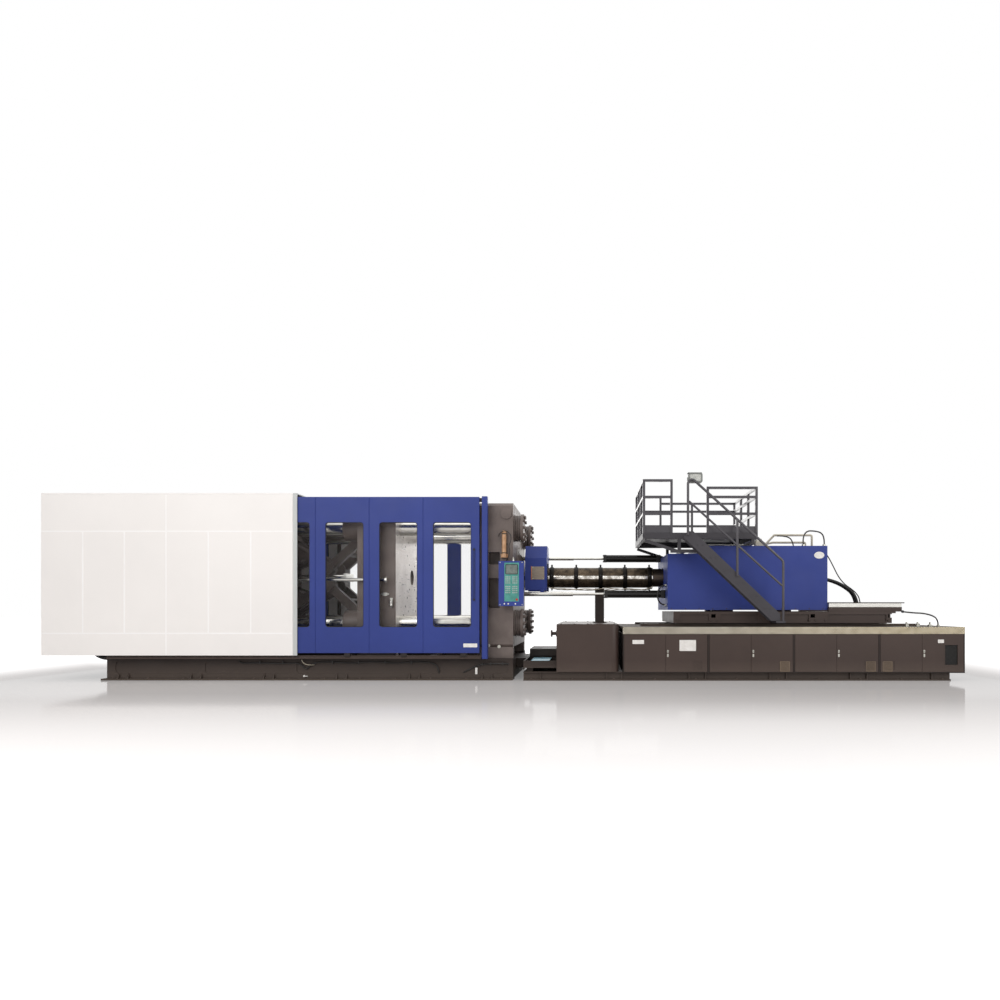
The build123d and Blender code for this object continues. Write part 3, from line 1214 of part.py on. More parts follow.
def top_pipes():
    """Cream hydraulic pipes along the hood's roof to a valve block."""
    parts = [block(3990, 4110, -420, -250, HOOD_Z1, HOOD_Z1 + 110)]
    parts.append(block(4030, 4090, -390, -290, HOOD_Z1 + 110, HOOD_Z1 + 150))
    runs = (
        (-390, HOOD_Z1 + 70, HOOD_Z1 + 205, 4900),
        (-290, HOOD_Z1 + 70, HOOD_Z1 + 95, 4820),
    )
    for y, z0, z1, x_end in runs:
        path = [(4110, y, z0), (4160, y, z0), (4290, y, z1 + 1), (x_end, y, z1 + 1), (x_end, y, HOOD_Z1)]
        line = FilletPolyline(*path, radius=25)
        parts.append(sweep(Plane(line @ 0, z_dir=line % 0) * Circle(17), path=line))
    return parts


def cord(points, radius, bend):
    """A hose laid along straight runs joined by arcs."""
    line = FilletPolyline(*points, radius=bend)
    return sweep(Plane(line @ 0, z_dir=line % 0) * Circle(radius), path=line)


def carriage_hoses():
    """Drive hoses from the hood's end wall down to the sled."""
    top = SLED_Z1
    parts = []
    for y in (-330, -240):
        points = [(HOOD_X1, y, 1530), (HOOD_X1 + 90, y, 1530), (HOOD_X1 + 430, y, 1340), (HOOD_X1 + 540, y, 1160)]
        points.append((HOOD_X1 + 540, y, top))
        parts.append(cord(points, 24, 55))
    points = [(HOOD_X1, -420, 1860), (HOOD_X1 + 40, -420, 1860), (HOOD_X1 + 470, -420, 1120), (HOOD_X1 + 470, -420, top)]
    parts.append(cord(points, 9, 60))
    return parts


def suction_box():
    """The valve box at the clamp end of the base, with the flange for two suction hoses."""
    box = block(BASE_X0 - 180, BASE_X0, -620, -380, 110, 350)
    flange = block(BASE_X0 - 270, BASE_X0 - 180, -600, -400, 250, 350)
    return [box, flange]


def suction_hoses():
    parts = []
    for y in (-550, -450):
        points = [(BASE_X0 - 270, y, 300), (BASE_X0 - 370, y, 300), (BASE_X0 - 530, y, 420), (BASE_X0 - 530, y, 900)]
        parts.append(cord(points, 34, 70))
    return parts


def work_lamp():
    """The lamp beside the top post of the stair rail, with its visor and arm."""
    x = STAIR_TOP_X + 22
    y = STAIR_Y0 + 50
    head = block(x, x + 210, y, y + 110, RAIL_TOP - 79, RAIL_TOP + 61)
    head = fillet(head.edges().filter_by(Axis.Y), 22)
    visor = block(x - 12, x + 200, y - 8, y + 118, RAIL_TOP + 61, RAIL_TOP + 69)
    arm = block(x - 24, x + 12, STAIR_Y0 + 2 * TUBE + 1, y, RAIL_TOP - 59, RAIL_TOP - 9)
    return [head + visor, arm]


def main():
    save("clamp_base", clamp_base() + suction_box())
    save("slideways", slideways())
    save("fixed_platen", fixed_platen())
    pin_half = FRONT_LINK_WIDTH / 2 + SIDE_PLAY + LUG_PLATE + 8
    save("moving_platen", moving_platen() + toggle_pins(LUG_PIN_X, pin_half))
    save("tail_platen", tail_platen() + toggle_pins(tail_pin_x(), pin_half))
    save("tie_bars", tie_bars())
    save("tie_bar_nuts", tie_bar_nuts())
    save("toggle_front_upper", front_link(1))
    save("toggle_front_lower", front_link(-1))
    save("toggle_rear_upper", rear_link(1))
    save("toggle_rear_lower", rear_link(-1))
    save("cross_link_upper", cross_link(1))
    save("cross_link_lower", cross_link(-1))
    save("crosshead", crosshead())
    save("clamp_cylinder", clamp_cylinder())
    save("guide_rods", guide_rods())
    save("grease_pump", grease_pump())
    save("lube_filter", lube_filter())
    save("safety_rod", safety_rod())
    save("cover_panels", cover_panels())
    save("cover_shell", cover_shell())
    save("cover_frame", cover_frame())
    save("gate_posts", gate_posts())
    save("door_front", sliding_door(-1))
    save("door_rear", sliding_door(1))
    save("panes_front", door_panes(-1))
    save("panes_rear", door_panes(1))
    save("injection_base", injection_base() + barrel_support())
    save("tank_box", tank_box())
    save("cabinet_frame", cabinet_frame())
    save("deck", deck())
    for i in range(2 * BAYS):
        save("cabinet_door_" + str(i + 1), cabinet_door(i))
    save("sled", sled())
    save("injection_cover", injection_cover())
    save("barrel", barrel())
    save("heater_covers", heater_covers())
    save("carriage_cylinders", carriage_cylinders())
    save("purge_guard", purge_guard())
    save("panel_housing", panel_housing())
    save("keypad", keypad())
    names = ("button_left", "button_middle", "button_right", "stop_button")
    for i, name in enumerate(names):
        save(name, button(i))
    save("platform", platform())
    save("handrails", handrails())
    save("stair_rails", stair_rails())
    save("stairs", stairs())
    save("work_lamp", work_lamp())
    save("hopper_plate", hopper_plate())
    save("top_pipes", top_pipes())
    save("carriage_hoses", carriage_hoses())
    save("suction_hoses", suction_hoses())


if __name__ == "__main__":
    main()
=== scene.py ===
import json
import math

import bmesh
import bpy
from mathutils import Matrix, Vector


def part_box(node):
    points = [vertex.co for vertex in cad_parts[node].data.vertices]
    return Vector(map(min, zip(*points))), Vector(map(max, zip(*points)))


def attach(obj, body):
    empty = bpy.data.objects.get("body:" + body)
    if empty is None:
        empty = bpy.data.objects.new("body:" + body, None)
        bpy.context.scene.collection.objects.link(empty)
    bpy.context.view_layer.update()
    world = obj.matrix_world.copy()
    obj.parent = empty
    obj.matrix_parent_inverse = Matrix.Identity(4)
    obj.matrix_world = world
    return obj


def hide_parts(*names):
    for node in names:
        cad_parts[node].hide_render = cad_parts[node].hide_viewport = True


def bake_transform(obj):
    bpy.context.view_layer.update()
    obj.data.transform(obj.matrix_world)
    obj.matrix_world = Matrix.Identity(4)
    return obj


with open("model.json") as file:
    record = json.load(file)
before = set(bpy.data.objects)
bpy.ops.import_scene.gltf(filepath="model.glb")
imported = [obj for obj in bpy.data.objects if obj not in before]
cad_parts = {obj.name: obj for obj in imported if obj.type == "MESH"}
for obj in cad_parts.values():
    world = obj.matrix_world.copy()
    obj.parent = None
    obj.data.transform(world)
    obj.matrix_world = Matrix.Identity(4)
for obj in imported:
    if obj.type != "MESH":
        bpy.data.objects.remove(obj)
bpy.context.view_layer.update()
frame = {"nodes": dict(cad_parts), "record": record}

bl_info = {
    "name": "Injection moulding machine finish",
    "version": (1, 0, 0),
    "blender": (4, 5, 0),
    "location": "View3D > Sidebar > Machine",
    "description": "Finishes, fittings and studio for the injection moulding machine",
    "category": "Object",
}

NODES = frame["nodes"]

# Places on the machine, in metres
AXIS_Z = 1.6
FRONT = -1.350
END_X = 6.93
SHOE_TOP = 0.417
COVER_LEFT, COVER_SPLIT, COVER_RIGHT = -6.930, -5.055, -3.150
COVER_LOW_SEAM, COVER_HIGH_SEAM = 0.714, 2.245
COVER_TRIM_X = -3.152
JOINT_STRIP_HALF = 0.011
GATE_PANEL = 0.810
WINDOW_RIGHT, WINDOW_WIDTH, WINDOW_LOW, WINDOW_HIGH, WINDOW_CORNER = -0.482, 0.574, 0.807, 2.385, 0.045
MOVING_FACE_X, FIXED_FACE_X, FACE_PLAY = -1.662, -0.450, 0.004
BARREL_COVER_RADIUS = 0.166
BAND_X, BAND_PITCH, BAND_SHARE, STRIP_HALF = 0.641, 0.405, 0.163, 0.026
BASE_SIDE = -1.1995
HOOD_FRONT = -0.8495
SIDES = (-1, 1)
FLOOR_HALF = 80.0

# Softening of the solids' edges
WELD_GAP = 0.00002
BUTTON_ROUND = 0.0006
SOLID_ANGLE, FITTING_ANGLE = 50, 40

# Nodes whose finish differs from the rest of their slot in the record
OWN_FINISH = {
    # The bases and the cabinet frame take umber darkened as painted shade
    "clamp_base": "base_enamel_painted_shade", "injection_base": "base_enamel_painted_shade", "cabinet_frame": "frame_painted_shade",
    # The handrails and stair rails take slate lightened as painted highlight
    "slideways": "darkened_way", "handrails": "tube_enamel_painted_highlight", "stair_rails": "tube_enamel_painted_highlight",
    "door_front": "gate_enamel", "door_rear": "gate_enamel",
}

# Nodes with edges that stay sharp
SHARP_NODES = {"panes_front", "panes_rear", "carriage_hoses", "suction_hoses", "keypad", "deck", "slideways"}


def linear(code, alpha=1.0):
    """Turn an sRGB hex colour into the linear values that shaders use."""
    values = [int(code[i:i + 2], 16) / 255 for i in (1, 3, 5)]
    return tuple(v / 12.92 if v <= 0.04045 else ((v + 0.055) / 1.055) ** 2.4 for v in values) + (alpha,)


def tone(colour, share=1.0):
    """The linear values of a hex colour, or of one that a user chose, times share."""
    values = linear(colour) if isinstance(colour, str) else tuple(colour)
    return tuple(v * share for v in values[:3]) + (1.0,)


def per_metre(size_mm):
    """A texture scale that repeats about once every size_mm."""
    return 1000.0 / size_mm


def add(tree, kind, inputs=(), **settings):
    """Add a shader node, named without its ShaderNode, with its settings, and set or link its sockets.
    inputs holds the first sockets in order, or names them. A node given as a value is linked by its first output."""
    node = tree.nodes.new("ShaderNode" + kind)
    for key, value in settings.items():
        setattr(node, key, value)
    for key, value in inputs.items() if isinstance(inputs, dict) else enumerate(inputs):
        if isinstance(value, bpy.types.Node):
            value = value.outputs[0]
        if isinstance(value, bpy.types.NodeSocket):
            tree.links.new(value, node.inputs[key])
        else:
            node.inputs[key].default_value = value
    return node


def start(name):
    """A new material, its node tree, and the piece's own coordinates in metres."""
    made = bpy.data.materials.new(name)
    made.use_nodes = True
    tree = made.node_tree
    tree.nodes.clear()
    return made, tree, add(tree, "TexCoord").outputs["Object"]


def mottled(tree, place, light, dark, size_mm, detail=3.0, low=0.35, high=0.65):
    """A colour that drifts between two tones over patches of a real size."""
    noise = add(tree, "TexNoise", {"Vector": place, "Scale": per_metre(size_mm), "Detail": detail})
    span = add(tree, "MapRange", (noise, low, high))
    return add(tree, "Mix", {0: span, 6: tone(dark), 7: tone(light)}, data_type="RGBA").outputs[2]


def drifting(tree, place, low, high, size_mm):
    """A roughness that wanders between two values."""
    noise = add(tree, "TexNoise", {"Vector": place, "Scale": per_metre(size_mm), "Detail": 4.0})
    return add(tree, "MapRange", (noise, 0.3, 0.7, low, high))


def ripple(tree, place, size_mm, height_mm, detail=2.0, strength=0.6):
    """A bump from grain of a real size and height."""
    noise = add(tree, "TexNoise", {"Vector": place, "Scale": per_metre(size_mm), "Detail": detail})
    return add(tree, "Bump", {"Height": noise, "Distance": height_mm / 1000, "Strength": strength})


def from_middle(tree, value):
    """How far a running value is from the middle of its cell, 0 to 0.5."""
    cell = add(tree, "Math", (value,), operation="FRACT")
    return add(tree, "Math", (add(tree, "Math", (cell, 0.5), operation="SUBTRACT"),), operation="ABSOLUTE")


def squared_sum(tree, a, b):
    """The sum of two values' squares."""
    squares = [add(tree, "Math", (value, value), operation="MULTIPLY") for value in (a, b)]
    return add(tree, "Math", squares, operation="ADD")


def powder_coat(name, light, dark, rough, peel_mm=9.0, peel=0.25, dusty=False, shine=0.3, foot=None):
    """Powder coat on sheet steel: an even colour with faint orange peel and a slow drift in tone.
    The peel is really about 2 mm across, and is drawn wider so that it shows. A dusty one is paler near the floor.
    Below foot it is umber, as on the gates' shoes."""
    made, tree, place = start(name)
    colour = mottled(tree, place, light, dark, 900)
    if foot:
        z = add(tree, "SeparateXYZ", (place,)).outputs[2]
        under = add(tree, "Math", (z, foot), operation="LESS_THAN")
        colour = add(tree, "Mix", {0: under, 6: colour, 7: linear("#2B2422")}, data_type="RGBA").outputs[2]
    if dusty:
        z = add(tree, "SeparateXYZ", (place,)).outputs[2]
        low = add(tree, "MapRange", (z, 0.0, 0.30, 0.22, 0.0))
        colour = add(tree, "Mix", {0: low, 6: colour, 7: linear("#8A7C70")}, data_type="RGBA").outputs[2]
    coat = add(tree, "BsdfPrincipled", {
        "Base Color": colour, "Roughness": drifting(tree, place, rough - 0.05, rough + 0.07, 260),
        "Normal": ripple(tree, place, peel_mm, peel, 1.5, 0.35), "IOR": 1.5, "Specular IOR Level": shine})
    add(tree, "OutputMaterial", (coat,))
    return made


def white_cover_enamel(white):
    """White powder coat with the cool grey trim along the cover's open edge.
    Its orange peel is drawn wider than real too."""
    made, tree, place = start("powder_coated_white_sheet")
    colour = mottled(tree, place, white, tone(white, 0.965), 1400)
    x = add(tree, "SeparateXYZ", (place,)).outputs[0]
    edge = add(tree, "Math", (x, COVER_TRIM_X), operation="GREATER_THAN")
    colour = add(tree, "Mix", {0: edge, 6: colour, 7: linear("#C3C7C6")}, data_type="RGBA").outputs[2]
    coat = add(tree, "BsdfPrincipled", {
        "Base Color": colour, "Roughness": drifting(tree, place, 0.36, 0.46, 300),
        "Normal": ripple(tree, place, 9, 0.2, 1.5, 0.3), "IOR": 1.5})
    add(tree, "OutputMaterial", (coat,))
    return made


def cast_platen():
    """Enamelled iron casting with a ground mould face. The paint is mottled and rough, the face bright and brushed.
    The grinding marks are really under 1 mm apart, and are drawn about 6 mm apart so that they show."""
    made, tree, place = start("enamelled_cast_iron_ground_face")
    paint = add(tree, "BsdfPrincipled", {"Base Color": mottled(tree, place, "#706560", "#5B504B", 240, 5.0),
                                         "Roughness": drifting(tree, place, 0.38, 0.58, 120),
                                         "Normal": ripple(tree, place, 14, 0.9, 4.0, 0.5)})
    stretched = add(tree, "Mapping", {"Vector": place, "Scale": (1.0, 0.04, 1.0)}).outputs[0]
    brushed = mottled(tree, stretched, "#F8F3EE", "#CFC8C1", 6, 6.0, 0.2, 0.8)
    patches = mottled(tree, place, "#FBF6F1", "#B9B1A9", 420, 5.0)
    metal = add(tree, "Mix", {0: 0.35, 6: brushed, 7: patches}, data_type="RGBA").outputs[2]
    ground = add(tree, "BsdfPrincipled", {"Base Color": metal, "Metallic": 0.55,
                                          "Roughness": drifting(tree, stretched, 0.26, 0.44, 18),
                                          "Normal": ripple(tree, stretched, 5, 0.06, 3.0, 0.4)})
    facing = add(tree, "SeparateXYZ", (add(tree, "TexCoord").outputs["Normal"],)).outputs[0]
    x = add(tree, "SeparateXYZ", (place,)).outputs[0]
    faces = [add(tree, "Math", (x, face_x, FACE_PLAY), operation="COMPARE")
             for face_x in (MOVING_FACE_X, FIXED_FACE_X)]
    on_face = add(tree, "Math", faces, operation="MAXIMUM")
    flat = add(tree, "Math", (add(tree, "Math", (facing,), operation="ABSOLUTE"), 0.9), operation="GREATER_THAN")
    both = add(tree, "Math", (on_face, flat), operation="MULTIPLY")
    add(tree, "OutputMaterial", (add(tree, "MixShader", (both, paint, ground)),))
    return made


def machined_steel(name, light, dark, rough, along="X", grain_mm=4.0):
    """Turned or ground steel: bright, with fine marks running round or along the piece.
    The marks are really under 1 mm apart, and are drawn grain_mm apart so that they show."""
    made, tree, place = start(name)
    scale = {"X": (0.03, 1.0, 1.0), "Z": (1.0, 1.0, 0.03)}[along]
    stretched = add(tree, "Mapping", {"Vector": place, "Scale": scale}).outputs[0]
    steel = add(tree, "BsdfPrincipled", {
        "Base Color": mottled(tree, stretched, light, dark, grain_mm, 5.0, 0.25, 0.75),
        "Roughness": drifting(tree, stretched, rough - 0.06, rough + 0.08, 22),
        "Normal": ripple(tree, stretched, grain_mm, 0.04, 3.0, 0.35), "Metallic": 1.0})
    add(tree, "OutputMaterial", (steel,))
    return made


def perforated_cover():
    """Perforated sheet round the heater bands: heat-browned steel with holes painted near-black as the shade behind
    them, and a painted highlight strip each side at the axis' height.
    The holes are really about 4 mm apart, and are drawn 16 mm apart so that they show."""
    made, tree, place = start("perforated_heater_sheet")
    pitch = per_metre(16)
    x, y, z = add(tree, "SeparateXYZ", (place,)).outputs
    height = add(tree, "Math", (z, AXIS_Z), operation="SUBTRACT")
    angle = add(tree, "Math", (y, height), operation="ARCTAN2")
    u = add(tree, "Math", (x, pitch), operation="MULTIPLY")
    v = add(tree, "Math", (angle, BARREL_COVER_RADIUS * pitch), operation="MULTIPLY")
    far = add(tree, "Math", (squared_sum(tree, from_middle(tree, u), from_middle(tree, v)),), operation="SQRT")
    # The holes are painted near-black: painted shade of the space behind the sheet
    hole = add(tree, "Math", (far, 0.3), operation="LESS_THAN")
    steel = mottled(tree, place, "#6E604F", "#3E352C", 90, 5.0)
    colour = add(tree, "Mix", {0: hole, 6: steel, 7: linear("#100D0B")}, data_type="RGBA").outputs[2]
    run = add(tree, "Math", (add(tree, "Math", (x, BAND_X), operation="SUBTRACT"), BAND_PITCH), operation="DIVIDE")
    band = add(tree, "Math", (add(tree, "Math", (run,), operation="FRACT"), BAND_SHARE), operation="LESS_THAN")
    colour = add(tree, "Mix", {0: band, 6: colour, 7: linear("#1B1816")}, data_type="RGBA").outputs[2]
    # A bright strip along each side at the axis' height: painted highlight where the lamps' reflection lies, with lower
    # roughness
    side = add(tree, "Math", (add(tree, "Math", (height,), operation="ABSOLUTE"), STRIP_HALF), operation="LESS_THAN")
    strip = add(tree, "Math", (side, add(tree, "Math", (1.0, band), operation="SUBTRACT")), operation="MULTIPLY")
    bright = mottled(tree, place, "#F2EFE9", "#8F877C", 45, 6.0)
    colour = add(tree, "Mix", {0: strip, 6: colour, 7: bright}, data_type="RGBA").outputs[2]
    whole = add(tree, "Math", (1.0, add(tree, "Math", (band, strip), operation="MAXIMUM")), operation="SUBTRACT")
    dent = add(tree, "Math", (hole, whole), operation="MULTIPLY")
    sheet = add(tree, "BsdfPrincipled", {
        "Base Color": colour, "Roughness": add(tree, "MapRange", {0: strip, 3: 0.52, 4: 0.22}), "Metallic": 0.85,
        "Normal": add(tree, "Bump", {"Height": dent, "Distance": 0.002, "Strength": 0.7}, invert=True)})
    add(tree, "OutputMaterial", (sheet,))
    return made


def tread_plate():
    """Rolled aluminium tread plate: raised bars crossing at right angles, bright on the lip and turning from grey to
    warm along X, and dark and dull on top faces, where the dark is a painted reflection of the dark parts above.
    The bars are about 28 mm apart, drawn at 42 mm so that they show on the deck's lip."""
    made, tree, place = start("rolled_aluminium_tread_plate")
    x, y, z = add(tree, "SeparateXYZ", (place,)).outputs
    rise = add(tree, "Math", (y, z), operation="ADD")
    u, v = [add(tree, "Math", (add(tree, "Math", (x, rise), operation=turn), per_metre(42)), operation="MULTIPLY")
            for turn in ("ADD", "SUBTRACT")]
    total = add(tree, "Math", [add(tree, "Math", (value,), operation="FLOOR") for value in (u, v)], operation="ADD")
    half = add(tree, "Math", (total, 0.5), operation="MULTIPLY")
    odd = add(tree, "Math", (add(tree, "Math", (half,), operation="FRACT"), 0.25), operation="GREATER_THAN")
    across_u, across_v = from_middle(tree, u), from_middle(tree, v)
    across = add(tree, "Mix", {0: odd, 2: across_u, 3: across_v})
    along = add(tree, "Mix", {0: odd, 2: across_v, 3: across_u})
    thin = add(tree, "Math", (across, 5.0), operation="MULTIPLY")
    length = add(tree, "Math", (along, 2.3), operation="MULTIPLY")
    bar = add(tree, "MapRange", (squared_sum(tree, thin, length), 0.7, 1.1, 1.0, 0.0))
    plate = mottled(tree, place, "#A79F90", "#7E776A", 70, 5.0)
    # The lip's bars turn from grey to warm along X
    warm = add(tree, "MapRange", (x, 3.0, 6.0))
    bar_colour_along_x = add(tree, "Mix", {0: warm, 6: linear("#D2CDC0"), 7: linear("#DFCFA6")}, data_type="RGBA").outputs[2]
    lip = add(tree, "Mix", {0: bar, 6: plate, 7: bar_colour_along_x}, data_type="RGBA").outputs[2]
    # Top faces: dark, a painted reflection of the dark sled and hood above them
    top_painted_reflection = add(tree, "Mix", {0: bar, 6: linear("#4A433E"), 7: linear("#6B625A")}, data_type="RGBA").outputs[2]
    facing = add(tree, "SeparateXYZ", (add(tree, "TexCoord").outputs["Normal"],)).outputs[2]
    top = add(tree, "Math", (facing, 0.9), operation="GREATER_THAN")
    colour = add(tree, "Mix", {0: top, 6: lip, 7: top_painted_reflection}, data_type="RGBA").outputs[2]
    dull = add(tree, "MapRange", {0: top, 3: 0.0, 4: 0.3})
    tread = add(tree, "BsdfPrincipled", {
        "Base Color": colour, "Metallic": add(tree, "MapRange", {0: top, 3: 0.9, 4: 0.3}),
        "Roughness": add(tree, "Math", (drifting(tree, place, 0.3, 0.5, 40), dull), operation="ADD"),
        "Normal": add(tree, "Bump", {"Height": bar, "Distance": 0.0025, "Strength": 0.9})})
    add(tree, "OutputMaterial", (tread,))
    return made


def hose_rubber(name, rib_mm=None):
    """Black hose: matt rubber with a cloth-marked skin, or ribbed like suction hose.
    Both are drawn wider than real so that they show."""
    made, tree, place = start(name)
    if rib_mm:
        x, y, z = add(tree, "SeparateXYZ", (place,)).outputs
        turn = add(tree, "Math", (x, z), operation="ADD")
        turn = add(tree, "Math", (turn, 2 * math.pi * per_metre(rib_mm)), operation="MULTIPLY")
        rib = add(tree, "Math", (turn,), operation="SINE")
        bump = add(tree, "Bump", {"Height": rib, "Distance": 0.004, "Strength": 0.8})
    else:
        bump = ripple(tree, place, 4, 0.15, 2.0, 0.5)
    rubber = add(tree, "BsdfPrincipled", {"Base Color": mottled(tree, place, "#2A2928", "#171615", 30, 4.0),
                                          "Roughness": drifting(tree, place, 0.5, 0.68, 40), "Normal": bump})
    add(tree, "OutputMaterial", (rubber,))
    return made


def clear_sheet():
    """Polycarbonate glazing: clear, almost colourless, with a few faint scuffs in its gloss."""
    made, tree, place = start("clear_polycarbonate_sheet")
    clear = add(tree, "BsdfTransparent", (linear("#FCFCFC"),))
    gloss = add(tree, "BsdfGlossy", {"Color": linear("#FFFFFF"), "Roughness": drifting(tree, place, 0.03, 0.10, 200)})
    soft = add(tree, "Math", (add(tree, "Fresnel", {"IOR": 1.3}), 0.35), operation="MULTIPLY")
    add(tree, "OutputMaterial", (add(tree, "MixShader", (soft, clear, gloss)),))
    return made


def moulded_plastic(name, light, dark, rough, through=0.0):
    """Injection-moulded plastic with a fine spark-eroded grain. through is the share of light that passes it.
    The grain is really about 0.1 mm across, and is drawn 3 mm across so that it shows."""
    made, tree, place = start(name)
    plastic = add(tree, "BsdfPrincipled", {
        "Base Color": mottled(tree, place, light, dark, 60),
        "Roughness": drifting(tree, place, rough - 0.04, rough + 0.05, 25),
        "Normal": ripple(tree, place, 3, 0.05, 2.0, 0.3), "IOR": 1.5, "Transmission Weight": through})
    add(tree, "OutputMaterial", (plastic,))
    return made


def studio_floor_lacquer(colour):
    """Pale lacquered studio floor. It mirrors the foot of the machine faintly and fades to the white background, its
    glow weaker near the machine as a painted shadow.
    Both follow the distance from the machine's footprint, so they lie still on the floor."""
    made, tree, place = start("pale_lacquered_floor")
    path = add(tree, "LightPath").outputs
    seen = add(tree, "Math", (path["Is Camera Ray"], path["Is Glossy Ray"]), operation="MAXIMUM")
    seen = add(tree, "Math", (seen, path["Is Transmission Ray"]), operation="MAXIMUM")
    x, y, z = add(tree, "SeparateXYZ", (place,)).outputs
    beside = add(tree, "Math", (add(tree, "Math", (x,), operation="ABSOLUTE"), END_X), operation="SUBTRACT")
    beside = add(tree, "Math", (beside, 4.0), operation="MULTIPLY")
    before = add(tree, "Math", (FRONT, y), operation="SUBTRACT")
    behind = add(tree, "Math", (add(tree, "Math", (y, 0.2), operation="SUBTRACT"), 3.0), operation="MULTIPLY")
    ahead = add(tree, "Math", (before, behind), operation="MAXIMUM")
    away = add(tree, "Math", (beside, ahead), operation="MAXIMUM")
    # The glow is weakest next to the footprint, falling off faster beside and behind: a painted shadow round the
    # machine
    rise = add(tree, "MapRange", (away, 2.6, 6.6, 0.26, 0.66))
    rest = add(tree, "MapRange", (away, 6.6, 10.0, 0.0, 0.36))
    level = add(tree, "Math", (rise, rest), operation="ADD")
    glow = add(tree, "Emission", (linear("#FFFFFF"), add(tree, "Math", (seen, level), operation="MULTIPLY")))
    shade = add(tree, "Mix", {0: seen, 6: colour, 7: tone(colour, 0.48)}, data_type="RGBA").outputs[2]
    plain = add(tree, "AddShader", (add(tree, "BsdfDiffuse", (shade,)), glow))
    gloss = add(tree, "BsdfGlossy", {"Color": linear("#FFFFFF"), "Roughness": drifting(tree, place, 0.05, 0.09, 900)})
    near = add(tree, "MapRange", (away, 1.8, 4.4, 0.55, 0.033))
    share = add(tree, "Math", (near, add(tree, "Fresnel", {"IOR": 1.45})), operation="MULTIPLY")
    add(tree, "OutputMaterial", (add(tree, "MixShader", (share, plain, gloss)),))
    return made


